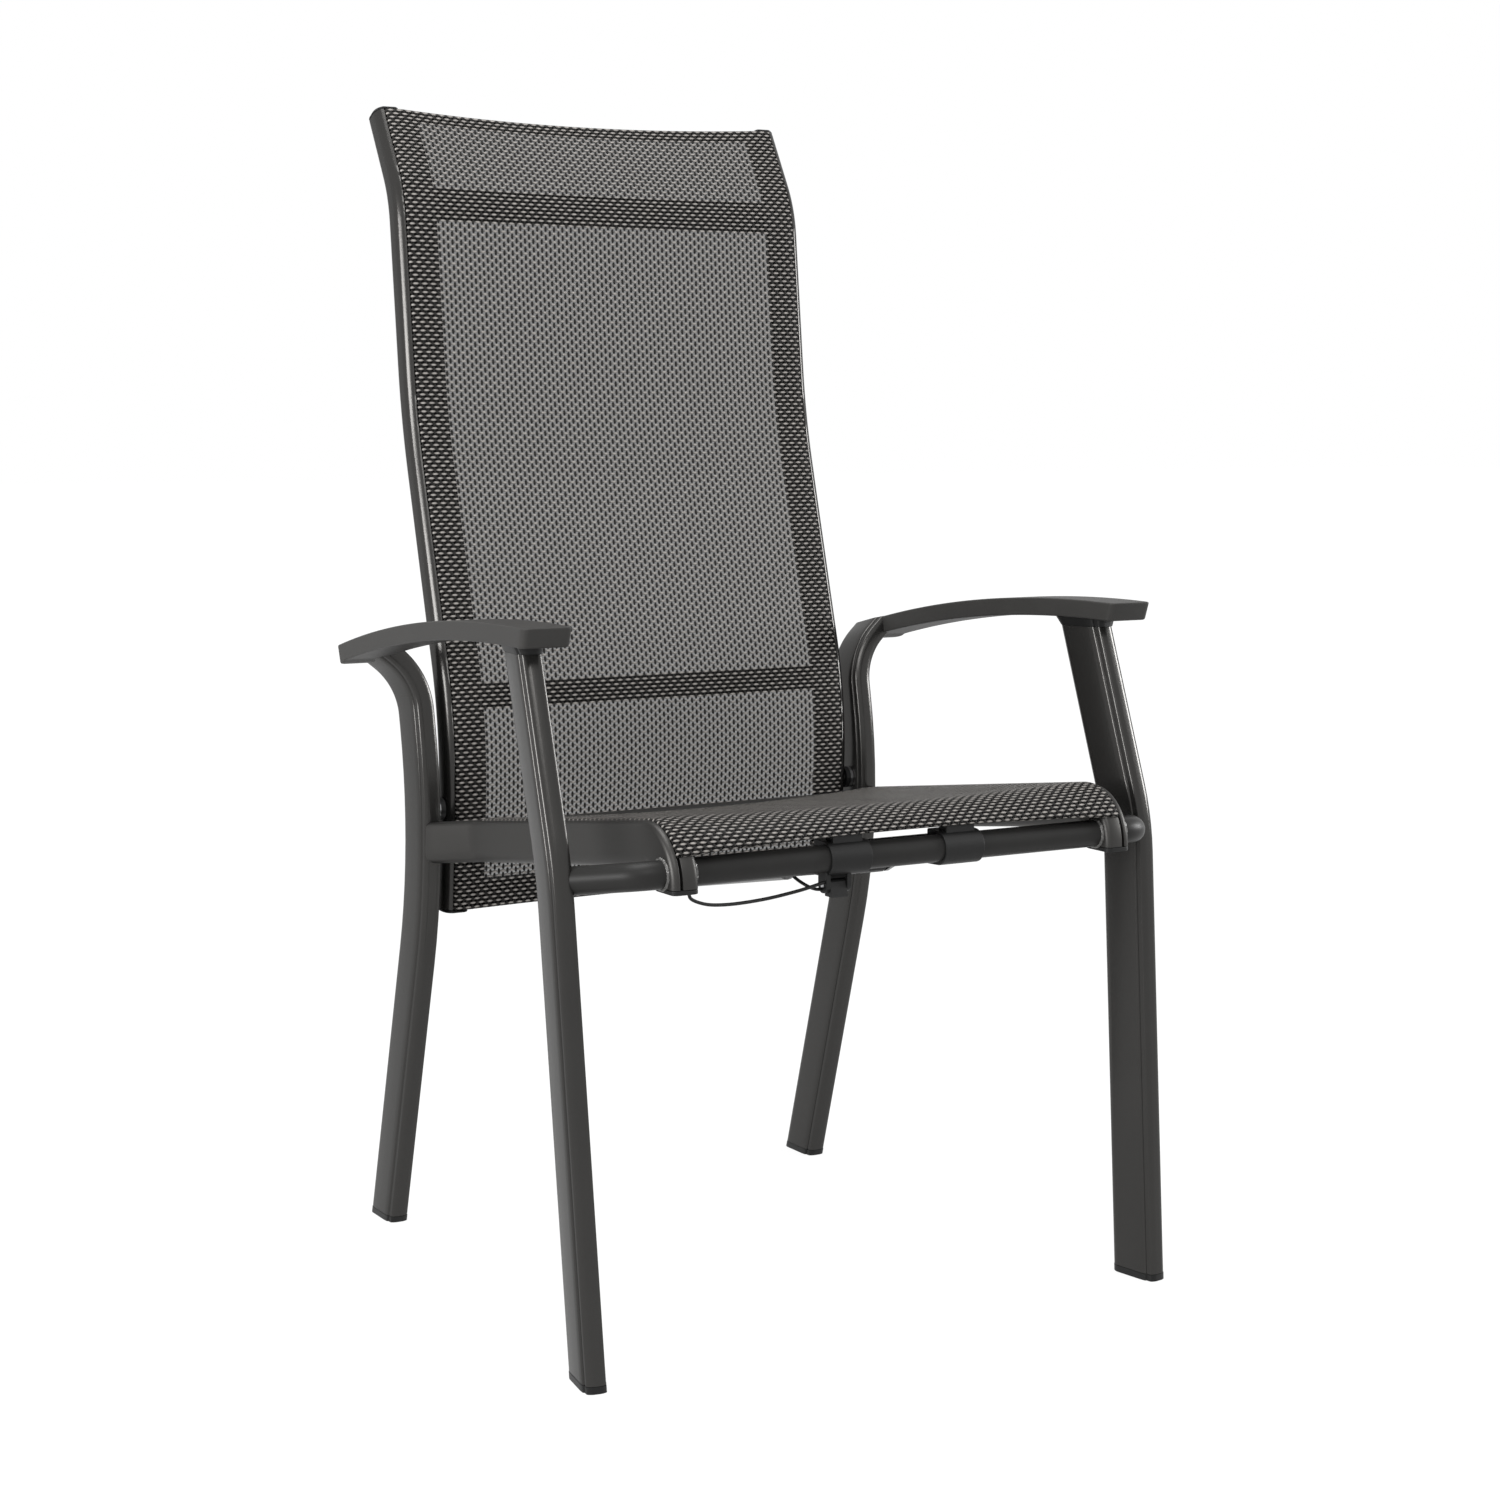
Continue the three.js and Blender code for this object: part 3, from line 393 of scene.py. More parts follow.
# %% Cutting, closing and finishing a piece
def saw(bm, point, normal):
    everything = list(bm.verts) + list(bm.edges) + list(bm.faces)
    bmesh.ops.bisect_plane(
        bm, geom=everything, dist=1e-7, plane_co=point, plane_no=normal, clear_outer=True, clear_inner=False
    )


def close_ends(bm):
    rims = [edge for edge in bm.edges if edge.is_boundary or edge.is_wire]
    bmesh.ops.edgeloop_fill(bm, edges=rims)


made_count = {}


def piece(name, bm, finish, body, stands_for=None, bevel=0.5, sharp=35, slot=None):
    bmesh.ops.remove_doubles(bm, verts=bm.verts, dist=1e-6)
    bmesh.ops.recalc_face_normals(bm, faces=bm.faces)
    mesh = bpy.data.meshes.new(name)
    bm.to_mesh(mesh)
    bm.free()
    mesh.shade_smooth()
    mesh.set_sharp_from_angle(angle=math.radians(sharp))
    made = bpy.data.objects.new(name, mesh)
    bpy.context.scene.collection.objects.link(made)
    mesh.materials.append(finish)
    if bevel:
        rounding = made.modifiers.new("edge", "BEVEL")
        rounding.width = bevel * MM
        rounding.segments = 2
        rounding.limit_method = "ANGLE"
        rounding.angle_limit = math.radians(sharp)
        rounding.harden_normals = True
    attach(made, body)
    if stands_for:
        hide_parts(stands_for)
    made_count[name] = len(mesh.polygons)
    return made


def mirrored(bm):
    """A copy of the mesh for the other side of the chair."""
    other = bm.copy()
    bmesh.ops.scale(other, vec=(-1, 1, 1), verts=other.verts)
    bmesh.ops.reverse_faces(other, faces=other.faces)
    return other


def pair(name, bm, finish, body, **more):
    """The piece for both sides: made for +X, and mirrored."""
    other = mirrored(bm)
    piece(f"{name}_shaped_left", other, finish, body, f"{name}_left", **more)
    piece(f"{name}_shaped_right", bm, finish, body, f"{name}_right", **more)


# %% [markdown]
# ## Legs
# The leg tube is 21.5 by 52 mm, round behind and flat in front. A step runs down each front corner, and the nose before
# it slants in to a narrower flat, so that a corner has two ridges instead of one. In the photograph these ridges are
# the pairs of bright lines on every leg.

# %% Leg outline
LEG_HALF = 10.75
LEG_REACH = 26


def leg_outline(bm, grow=0.0, toe=0.0):
    half = LEG_HALF + grow
    nose = LEG_REACH + grow
    right = [
        (half, 13.0, 1.8, 3),
        (half - 0.6, 18.4 + grow, 1.4, 5),
        (half - 2.0, 18.7 + grow, 0.3, 2),
        (half - 2.1, 23.6 + grow, 1.0, 4),
        (half - 5.5, nose, 3.0, 6),
    ]
    left = [(-x, y, rounding, steps) for x, y, rounding, steps in reversed(right)]
    rear = []
    turns = 12
    for k in range(turns + 1):
        turn = math.pi * k / turns
        rear.append((-half * math.cos(turn), -15.25 - half * math.sin(turn), 0, 0))
    corners = right + left + rear
    outline(bm, corners)
    bmesh.ops.rotate(bm, cent=(0, 0, 0), matrix=Matrix.Rotation(toe, 3, "Z"), verts=bm.verts)


# %% [markdown]
# Both legs are drawn from the floor up. The front leg bends once at seat level and stands toed out by nine degrees.
# The rear leg has one long bend at seat level, and its top turns out and goes through the armrest. Each leg runs on
# past both ends and is cut: level above its black foot cap, and along the armrest's arch at the top.

# %% Leg routes
TOE = math.radians(9)
INWARD = Vector((-1, 0, 0))
UP = Vector((0, 0, 1))
front_leg_route = [at(288, -232, 0), at(296, -193.5, 423), at(292, -122, 626)]
front_leg_bends = [0.230]
rear_leg_route = [at(244, 296, 0), at(245, 180.7, 391), at(245, 212, 548), at(291, 219, 587)]
rear_leg_bends = [0.470, 0.070]
FRONT_TOP_Y, REAR_TOP_Y = -130, 218
RUN_ON = 0.05
ARM_CREST = (-150, 626)
ARM_RADIUS = 1640
ARM_THICK = 17


def arm_height(y, below=0.0):
    reach = ARM_RADIUS - below
    return ARM_CREST[1] - ARM_RADIUS + math.sqrt(reach ** 2 - (y - ARM_CREST[0]) ** 2)


def arm_slope(y):
    return -(y - ARM_CREST[0]) / math.sqrt(ARM_RADIUS ** 2 - (y - ARM_CREST[0]) ** 2)


def run_on(route):
    down = (route[0] - route[1]).normalized()
    up = (route[-1] - route[-2]).normalized()
    return [route[0] + down * RUN_ON] + route[1:-1] + [route[-1] + up * RUN_ON]


# %% [markdown]
# The four legs differ only in their route, their toe-out and how far below the armrest's top they end. So one loop
# bends a front and a rear leg with their caps, and each is mirrored to the other side.

# %% Legs and foot caps
CAP_TALL, CAP_GAP = 6, 0.3
COLLAR_DEEP = 8
legs = {
    "front_leg": (front_leg_route, front_leg_bends, TOE, FRONT_TOP_Y, ARM_THICK + COLLAR_DEEP + CAP_GAP),
    "rear_leg": (rear_leg_route, rear_leg_bends, 0.0, REAR_TOP_Y, -0.1),
}
for name, (route, bends, toe, top_y, below) in legs.items():
    bm = bmesh.new()
    leg_outline(bm, toe=toe)
    bend_run(bm, run_on(route), bends, INWARD)
    saw(bm, (0, 0, (CAP_TALL + CAP_GAP) * MM), -UP)
    saw(bm, at(0, top_y, arm_height(top_y, below)), Vector((0, -arm_slope(top_y), 1)))
    close_ends(bm)
    pair(name, bm, tube_coat, "frame")
    cap = bmesh.new()
    leg_outline(cap, grow=0.25, toe=toe)
    bend_run(cap, run_on(route), bends, INWARD)
    saw(cap, (0, 0, 0), -UP)
    saw(cap, (0, 0, CAP_TALL * MM), UP)
    close_ends(cap)
    pair(name.replace("leg", "foot_cap"), cap, black_plastic, "frame", bevel=0.8)
print("legs:", {key: made_count[key] for key in made_count if "leg" in key})

# %% [markdown]
# ## Armrests
# Each armrest is a flat bar with a slight arch, wider in front than behind. It is made as a slab with its plan
# outline, cut into slices along its length and bent down over the arch, then given softly rounded edges. A black
# plastic collar closes the joint of the front leg: the leg's outline, widened towards the armrest.

# %% Armrests and their collars
ARM_FRONT, ARM_REAR, ARM_INNER, ARM_OUT_FRONT, ARM_OUT_REAR = -193, 231, 275.5, 321, 315
ARM_SLICES = 40
ARM_RAKE, ARM_END = 6, 20


def armrest():
    bm = bmesh.new()
    outline(bm, [
        (ARM_INNER, ARM_FRONT, 6, 5), (ARM_OUT_FRONT, ARM_FRONT, 6, 5),
        (ARM_OUT_REAR, ARM_REAR, 6, 5), (ARM_INNER, ARM_REAR, 6, 5),
    ])
    push(bm, list(bm.edges), (0, 0, ARM_THICK * MM))
    close_ends(bm)
    for k in range(1, ARM_SLICES):
        y = ARM_FRONT + (ARM_REAR - ARM_FRONT) * k / ARM_SLICES
        everything = list(bm.verts) + list(bm.edges) + list(bm.faces)
        bmesh.ops.bisect_plane(bm, geom=everything, dist=1e-7, plane_co=(0, y * MM, 0), plane_no=(0, 1, 0))
    for vert in bm.verts:
        x, y, z = (part / MM for part in vert.co)
        below = ARM_THICK - z
        way = 1 if y < ARM_FRONT + ARM_END else -1 if y > ARM_REAR - ARM_END else 0
        rake = ARM_RAKE * below / ARM_THICK * way
        vert.co = at(x, y + rake, arm_height(y, below))
    return bm


pair("armrest", armrest(), armrest_coat, "frame", bevel=1.6, sharp=50)

COLLAR_UNCUT = 0.0095
collar = bmesh.new()
leg_outline(collar, grow=0.4, toe=TOE)
up_leg = (front_leg_route[-1] - front_leg_route[-2]).normalized()
lean = up_leg.y / up_leg.z
seat = at(292.5, -131.2, 600.2)
ring = bend_run(collar, [seat, seat + UP * COLLAR_UNCUT], [], INWARD)
top = list({vert for edge in ring for vert in edge.verts})
centred = Matrix.Translation(-seat)
bmesh.ops.scale(collar, vec=(1, math.hypot(1, lean), 1), verts=collar.verts, space=centred)
bmesh.ops.scale(collar, vec=(1.28, 1.11, 1), verts=top, space=centred)
bmesh.ops.translate(collar, vec=(0, lean * COLLAR_UNCUT, 0), verts=top)
arch_normal = Vector((0, -arm_slope(FRONT_TOP_Y), 1))
saw(collar, at(0, FRONT_TOP_Y, arm_height(FRONT_TOP_Y, ARM_THICK + COLLAR_DEEP)), -arch_normal)
saw(collar, at(0, FRONT_TOP_Y, arm_height(FRONT_TOP_Y, ARM_THICK + CAP_GAP)), arch_normal)
close_ends(collar)
pair("armrest_collar", collar, black_plastic, "frame", bevel=0.6)
print("armrest height:", round(arm_height(ARM_CREST[0])), "mm at the crest")

# %% [markdown]
# ## Seat frame
# The seat rails are tall tubes with a slot in the top that holds the sling's edge. At the front they turn down over a
# tight waterfall bend, and at the rear they swing out to the legs. Between them run the round front and rear bars,
# and a short bent link joins each rail to its front leg.

# %% Seat rails
SLOT_HALF, SLOT_DEEP = 1.3, 7
RAIL_X, RAIL_HALF, RAIL_TALL = 219.5, 12.5, 19.5
RAIL_END, RAIL_REAR = 416, 167.5
RAIL_NOSE = 0.0305
RAIL_CAP_TALL = 4
SEAT_EDGE = 224


def rail_height(y):
    return 427.6 - 0.131 * (y + 77)


def slot_corners(x, y):
    """The slot that holds a sling's edge, cut into a face at height y."""
    left, right = x - SLOT_HALF, x + SLOT_HALF
    return [(right, y, 0.5, 2), (right, y - SLOT_DEEP, 0, 0), (left, y - SLOT_DEEP, 0, 0), (left, y, 0.5, 2)]


def rail_outline(bm, grow=0.0):
    x, y = RAIL_HALF + grow, RAIL_TALL + grow
    slot_x = RAIL_X - SEAT_EDGE
    corners = [(-x, -y, 11.5, 8), (x, -y, 11.5, 8), (x, y, 5.5, 6)]
    if not grow:
        corners += slot_corners(slot_x, y)
    corners.append((-x, y, 5.5, 6))
    outline(bm, corners)


rail_route = [
    at(RAIL_X, FRONT_BAR_Y, RAIL_END),
    at(RAIL_X, FRONT_BAR_Y, rail_height(FRONT_BAR_Y)),
    at(RAIL_X, 112, rail_height(112)),
    at(239.5, 163.4, rail_height(163.4)),
    at(245, 180.7, rail_height(180.7)),
]
rail = bmesh.new()
rail_outline(rail)
bend_run(rail, rail_route, [RAIL_NOSE, 0.045, 0.045], INWARD)
saw(rail, at(0, RAIL_REAR, 0), Vector((0, 1, 0)))
close_ends(rail)
pair("seat_rail", rail, rail_coat, "frame", bevel=0.4)

cap_top = RAIL_END - CAP_GAP
cap = bmesh.new()
rail_outline(cap, grow=0.01)
bend_run(cap, [at(RAIL_X, FRONT_BAR_Y, cap_top - RAIL_CAP_TALL), at(RAIL_X, FRONT_BAR_Y, cap_top)], [], INWARD)
close_ends(cap)
pair("seat_rail_cap", cap, black_plastic, "frame", bevel=0.8)


# %% [markdown]
# Round bars are simple: a circle pushed along. The links add one bend. Where a bar meets a rail, such a frame is
# welded, which shows as a small uneven ring. It is made as a thin torus by spinning a circle, then roughened a little.


# %% Round bars, links and welds
ROUND_SIDES = 40


def round_bar(radius, corners, bends, across):
    bm = bmesh.new()
    bmesh.ops.create_circle(bm, cap_ends=False, radius=radius * MM, segments=ROUND_SIDES)
    bend_run(bm, corners, bends, across)
    return bm


BAR_Z = 427
FRONT_BAR_RADIUS = 12
rail_inner, rail_outer = RAIL_X - RAIL_HALF, RAIL_X + RAIL_HALF
bar_end = rail_inner - 0.1
bar = round_bar(FRONT_BAR_RADIUS, [at(-bar_end, FRONT_BAR_Y, BAR_Z), at(bar_end, FRONT_BAR_Y, BAR_Z)], [], UP)
close_ends(bar)
piece("seat_front_bar_shaped", bar, painted_shade_bar_coat, "frame", "seat_front_bar", bevel=0)

REAR_BAR_RADIUS, REAR_BAR_HALF, REAR_BAR_Y = 11, 222, 147
rear_z = rail_height(REAR_BAR_Y) + 6
rear_ends = [at(-REAR_BAR_HALF, REAR_BAR_Y, rear_z), at(REAR_BAR_HALF, REAR_BAR_Y, rear_z)]
bar = round_bar(REAR_BAR_RADIUS, rear_ends, [], UP)
close_ends(bar)
piece("seat_rear_bar_shaped", bar, painted_shade_bar_coat, "frame", "seat_rear_bar", bevel=0)

link_route = [at(rail_outer + 0.2, FRONT_BAR_Y, BAR_Z), at(249.3, FRONT_BAR_Y, BAR_Z), at(291.5, -203, 418)]
link = round_bar(FRONT_BAR_RADIUS, link_route, [0.028], UP)
close_ends(link)
pair("leg_link", link, painted_shade_bar_coat, "frame", bevel=0)


X_WAY = Vector((1, 0, 0))
WELD_RADIUS, WELD_BEAD = 12.2, 1.6


def weld(name, centre, normal, radius):
    bm = bmesh.new()
    bmesh.ops.create_circle(bm, cap_ends=False, radius=WELD_BEAD * MM, segments=8)
    bmesh.ops.rotate(bm, cent=(0, 0, 0), matrix=Matrix.Rotation(math.pi / 2, 3, "X"), verts=bm.verts)
    bmesh.ops.translate(bm, vec=(radius * MM, 0, 0), verts=bm.verts)
    bmesh.ops.spin(
        bm, geom=list(bm.edges), cent=(0, 0, 0), axis=(0, 0, 1), dvec=(0, 0, 0), angle=math.tau, steps=72,
        use_merge=True, use_normal_flip=False, use_duplicate=False,
    )
    for vert in bm.verts:
        turn = math.atan2(vert.co.y, vert.co.x)
        ripple = 1 + 0.022 * math.sin(turn * 31) + 0.015 * math.sin(turn * 13 + 1)
        vert.co.x *= ripple
        vert.co.y *= ripple
    turn_to = normal.to_track_quat("Z", "Y").to_matrix().to_4x4()
    turn_to.translation = centre
    bmesh.ops.transform(bm, matrix=turn_to, verts=bm.verts)
    other = mirrored(bm)
    piece(f"{name}_left", other, weld_bead, "frame", bevel=0, slot="frame")
    piece(f"{name}_right", bm, weld_bead, "frame", bevel=0, slot="frame")


weld("front_bar_weld", at(rail_inner - 0.4, FRONT_BAR_Y, BAR_Z), X_WAY, WELD_RADIUS)
weld("link_rail_weld", at(rail_outer + 0.4, FRONT_BAR_Y, BAR_Z), X_WAY, WELD_RADIUS)
print("seat rail faces:", made_count["seat_rail_shaped_right"])

# %% [markdown]
# ## Back frame
# The back's two tubes follow the sitter's back: in at the waist, out at the shoulders and back at the head. Each has
# a slot in its front face for the sling, plastic caps at both ends, and three flat bars join the tubes.

# %% Back tubes
BACK_X = 213
BACK_HALF = 13
BACK_EDGE = 216
back_profile = [(201, 326), (187, 497), (270, 795), (293, 1008), (338, 1086)]
back_bends = [0.400, 0.600, 0.120]


def back_tube_outline(bm, slotted=True):
    x, y = 12.5, BACK_HALF
    slot_x = BACK_X - BACK_EDGE
    corners = [(-x, -y, 7, 8), (x, -y, 6, 6), (x, y, 5, 6)]
    corners += slot_corners(slot_x, y) if slotted else [(slot_x - SLOT_HALF, y, 0.5, 2)]
    corners += [(-9.0, 10.6, 2.9, 5), (-12.0, 5.5, 2.9, 5), (-x, -2.0, 3.5, 4)]
    outline(bm, corners)


back_route = [at(BACK_X, y, z) for y, z in back_profile]
tube = bmesh.new()
back_tube_outline(tube)
bend_run(tube, back_route, back_bends, INWARD, step_angle=1.5)
close_ends(tube)
pair("back_tube", tube, tube_coat, "back", bevel=0.4)

TUBE_CAP_TALL = 3
tube_ends = (("back_top_cap", back_route[-1], back_route[-2]), ("back_foot_cap", back_route[0], back_route[1]))
for name, end, inner in tube_ends:
    away = (end - inner).normalized()
    start, stop = end + away * CAP_GAP * MM, end + away * (CAP_GAP + TUBE_CAP_TALL) * MM
    cap = bmesh.new()
    back_tube_outline(cap, slotted=False)
    bend_run(cap, [start, stop] if away.z > 0 else [stop, start], [], INWARD)
    close_ends(cap)
    pair(name, cap, black_plastic, "back", bevel=2.4)


# %% [markdown]
# The bars between the tubes are flat tubes with round edges. They follow the lean of the back where they sit, so each
# outline is turned to that lean before it is pushed across.


# %% Back bars
def lean_at(z):
    for (y0, z0), (y1, z1) in zip(back_profile, back_profile[1:]):
        if z0 <= z <= z1:
            return math.atan2(y1 - y0, z1 - z0)
    return 0.0


back_bars = (("headrest_bar", 31, 14, 6.5), ("lumbar_bar", 24, 14, 6.5), ("back_bottom_bar", 24, 20, 6))
for name, tall, deep, rounding in back_bars:
    low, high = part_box(name)
    z = (low[2] + high[2]) / 2 / MM
    lean = lean_at(z)
    centre_y = (low[1] + high[1]) / 2
    bm = bmesh.new()
    quarters = ((-1, -1), (1, -1), (1, 1), (-1, 1))
    outline(bm, [(sx * tall / 2, sy * deep / 2, rounding, 6) for sx, sy in quarters])
    upright = Vector((0, math.sin(lean), math.cos(lean)))
    start = Vector((low[0], centre_y, z * MM))
    bend_run(bm, [start, Vector((high[0], centre_y, z * MM))], [], upright)
    close_ends(bm)
    piece(f"{name}_shaped", bm, painted_shade_bar_coat, "back", name, bevel=0)
print("back tube faces:", made_count["back_tube_shaped_right"])

# %% [markdown]
# ## Slings
# A sling is a sheet of mesh whose edges are held in the slots of two tubes. It is made as a flat grid that is laid
# along the tubes' route. Near the edges it dips into the slots, and between them it sags a little. The UV map keeps
# each point's place on the flat cloth in metres, so the weave stays even round every bend.


# %% The route of a sling
def fine_route(profile, bends, step=0.004):
    """Points along a side view with round bends."""
    places = [at(0, y, z) for y, z in profile]
    line = [places[0]]
    for before, corner, after, radius in zip(places, places[1:], places[2:], bends):
        coming, leaving = (corner - before).normalized(), (after - corner).normalized()
        angle = coming.angle(leaving)
        start = corner - coming * radius * math.tan(angle / 2)
        axis = coming.cross(leaving).normalized()
        centre = start + axis.cross(coming) * radius
        steps = max(4, math.ceil(angle * radius / step))
        for k in range(steps + 1):
            line.append(centre + Matrix.Rotation(angle * k / steps, 3, axis) @ (start - centre))
    line.append(places[-1])
    return line


class ClothLine:
    """The middle line of a sling: a place and an outward direction for any distance along it."""

    def __init__(self, line, offset):
        self.places, self.outward = [], []
        for k, place in enumerate(line):
            ahead = (line[min(k + 1, len(line) - 1)] - line[max(k - 1, 0)]).normalized()
            out = ahead.cross(INWARD)
            self.places.append(place + out * offset * MM)
            self.outward.append(out)
        self.marks = [0.0]
        for before, after in zip(self.places, self.places[1:]):
            self.marks.append(self.marks[-1] + (after - before).length)

    def at(self, distance):
        distance = min(max(distance, 0.0), self.marks[-1])
        k = next(i for i in range(len(self.marks) - 1) if self.marks[i + 1] >= distance - 1e-9)
        share = (distance - self.marks[k]) / (self.marks[k + 1] - self.marks[k])
        return (
            self.places[k].lerp(self.places[k + 1], share),
            self.outward[k].lerp(self.outward[k + 1], share).normalized(),
        )

    def mark_at_height(self, z):
        return min(zip(self.marks, self.places), key=lambda pair: abs(pair[1].z - z * MM))[0]


# %% [markdown]
# `sling_sheet` lays the grid. Its columns are given as places across. Each column runs from a lower to an upper end,
# and these may vary across the sheet, which scoops an edge. `dips` says how far the outer columns go down into the
# slots, `sag` how far the sheet hangs between the tubes, and `back_off` how far it lies behind another one.


# %% Laying a sheet
CLOTH_THICK = 0.9


def sling_sheet(name, cloth, columns, span, rows, sag, body, back_off=0.0, dips=None, stands_for=None):
    dips = dips or {}
    step = 0.5 if back_off else 0.0
    bm = bmesh.new()
    uv = bm.loops.layers.uv.new("UVMap")
    bmesh.ops.create_grid(bm, x_segments=len(columns) - 1, y_segments=rows, size=1)
    flat = {}
    for vert in bm.verts:
        column = round((vert.co.x + 1) / 2 * (len(columns) - 1))
        x = columns[column]
        low, high = span(x)
        distance = low + (high - low) * (vert.co.y + 1) / 2
        place, out = cloth.at(distance)
        dip = dips.get(column, 0.0)
        depth = sag(x, distance) + back_off + dip
        vert.co = place + Vector((x * MM, 0, 0)) - out * depth * MM
        flat[vert] = (
            x * MM + dip * MM * (1 if x > 0 else -1) + step * CELL_ACROSS,
            distance + step * CELL_ALONG,
        )
    for face in bm.faces:
        for loop in face.loops:
            loop[uv].uv = flat[loop.vert]
    weave = hem_weave if back_off else mesh_weave
    sheet = piece(name, bm, weave, body, stands_for, bevel=0, sharp=60, slot="mesh")
    wall = sheet.modifiers.new("cloth thickness", "SOLIDIFY")
    wall.thickness = CLOTH_THICK * MM
    wall.offset = 0
    print(name, "area", round(sum(face.area for face in sheet.data.polygons), 4), "m2")
    return sheet


# %% [markdown]
# The back's sling starts at the tubes' lower ends and stops a millimetre before their upper ones. Its columns lie close
# together at the slots, where it bends most. It sags between the tubes, but less where the lumbar and the headrest bar
# are close behind it, and a little more again above the headrest.

# %% Back sling
SLOT_TUCK = 6.0
BACK_INNER = 200
BACK_SAG, BAR_LIFT, TOP_SAG = 7.0, 2.5, 5


def spaced(low, high, count):
    return [low + (high - low) * k / count for k in range(count + 1)]


def sling_columns(edge, beside, inner):
    """Places across a sling: close together at the slots, and even between them."""
    left = [-edge, -edge, 1 - edge, -beside]
    return left + spaced(-inner, inner, 48) + [-x for x in reversed(left)]


def slot_dips(columns):
    """How far the outer columns go down into the slots, the same on both sides."""
    dips = {}
    for k, dip in enumerate((SLOT_TUCK, 1.2, 0.3)):
        dips[k] = dips[len(columns) - 1 - k] = dip
    return dips


back_cloth = ClothLine(fine_route(back_profile, back_bends), BACK_HALF + SLOT_HALF)
back_start = back_cloth.marks[0]
back_end = back_cloth.marks[-1] - 1 * MM
head_mark = back_cloth.mark_at_height(1000)
lumbar_mark = back_cloth.mark_at_height(529)


def back_sag(x, distance):
    if abs(x) > BACK_INNER:
        return 0.0
    near_head = math.exp(-((distance - head_mark) / 0.05) ** 2)
    near_lumbar = math.exp(-((distance - lumbar_mark) / 0.07) ** 2)
    rising = max(0.0, (distance - head_mark) / (back_end - head_mark))
    depth = BACK_SAG - BAR_LIFT * near_head - BAR_LIFT * near_lumbar + TOP_SAG * rising ** 2
    return depth * (1 - (x / BACK_INNER) ** 2)


def back_span(x):
    return back_start, back_end


BACK_ROWS = 170
back_columns = sling_columns(BACK_EDGE, 208, BACK_INNER)
back_sling = sling_sheet(
    "back_sling_cloth", back_cloth, back_columns, back_span, BACK_ROWS, back_sag, "back",
    dips=slot_dips(back_columns), stands_for="back_sling",
)

# %% [markdown]
# Along its sides and both ends the cloth is folded over and sewn, so it is double there. The second layer is a strip of
# its own, a little behind the first and half a cell out of step with it. Its weave is nearly closed, so what shows in
# the first layer's windows there is yarn and not the background.

# %% Hems of the back sling
HEM_SIDE = 31
HEM_BACK = 1.15


def hem_strips(which, cloth, edge, span, rows, sag, body, ends, end_rows):
    """Strips behind a sling's borders: the sides, then `ends` as (name, start, stop), in mm from that end."""
    strips = []
    for side, word in ((-1, "left"), (1, "right")):
        columns = spaced(side * (edge - 2), side * (edge - HEM_SIDE), 8)
        if side > 0:
            columns.reverse()
        name = f"{which}_side_hem_{word}"
        strips.append(sling_sheet(name, cloth, columns, span, rows, sag, body, back_off=HEM_BACK))
    columns = spaced(-edge + HEM_SIDE + 0.5, edge - HEM_SIDE - 0.5, 40)
    for end, start, stop in ends:
        def end_span(x):
            border = span(x)[0] if stop > 0 else span(x)[1]
            return border + start * MM, border + stop * MM
        name = f"{which}_{end}_hem"
        strips.append(sling_sheet(name, cloth, columns, end_span, end_rows, sag, body, back_off=HEM_BACK))
    return strips


hems = hem_strips(
    "back", back_cloth, BACK_EDGE, back_span, BACK_ROWS, back_sag, "back",
    (("top", -13, 0), ("foot", 0, 13)), 4,
)

# %% [markdown]
# The seat's sling starts on the rails' rounded front and ends in front of the back. Its front edge is scooped a little,
# as in the photograph, and its sag grows over the first 12 cm.

# %% Seat sling
SEAT_REAR = 106
SEAT_INNER = 207
SEAT_ROWS = 110
seat_profile = [
    (FRONT_BAR_Y, RAIL_END), (FRONT_BAR_Y, rail_height(FRONT_BAR_Y)), (SEAT_REAR, rail_height(SEAT_REAR)),
]
seat_cloth = ClothLine(fine_route(seat_profile, [RAIL_NOSE], step=0.002), RAIL_TALL + SLOT_HALF)
seat_start = seat_cloth.mark_at_height(443)
seat_end = seat_cloth.marks[-1]


def seat_sag(x, distance):
    if abs(x) > SEAT_INNER:
        return 0.0
    rise = min(1.0, max(0.0, (distance - seat_start) / 0.12))
    return (1.5 + 5.5 * rise) * (1 - (x / SEAT_INNER) ** 2)


def seat_span(x):
    scoop = 8 * MM * (1 - (x / SEAT_EDGE) ** 2)
    return seat_start + scoop, seat_end


seat_columns = sling_columns(SEAT_EDGE, 215, SEAT_INNER - 1)
seat_sling = sling_sheet(
    "seat_sling_cloth", seat_cloth, seat_columns, seat_span, SEAT_ROWS, seat_sag, "frame",
    dips=slot_dips(seat_columns), stands_for="seat_sling",
)
seat_hems = hem_strips(
    "seat", seat_cloth, SEAT_EDGE, seat_span, SEAT_ROWS, seat_sag, "frame",
    (("front", 0, 14), ("rear", -14, 0)), 5,
)

# %% [markdown]
# ## Cables
# Two thin black cables leave the release lever. Each follows the same listed points as its solid in the frame,
# as one smooth curve with a round section.

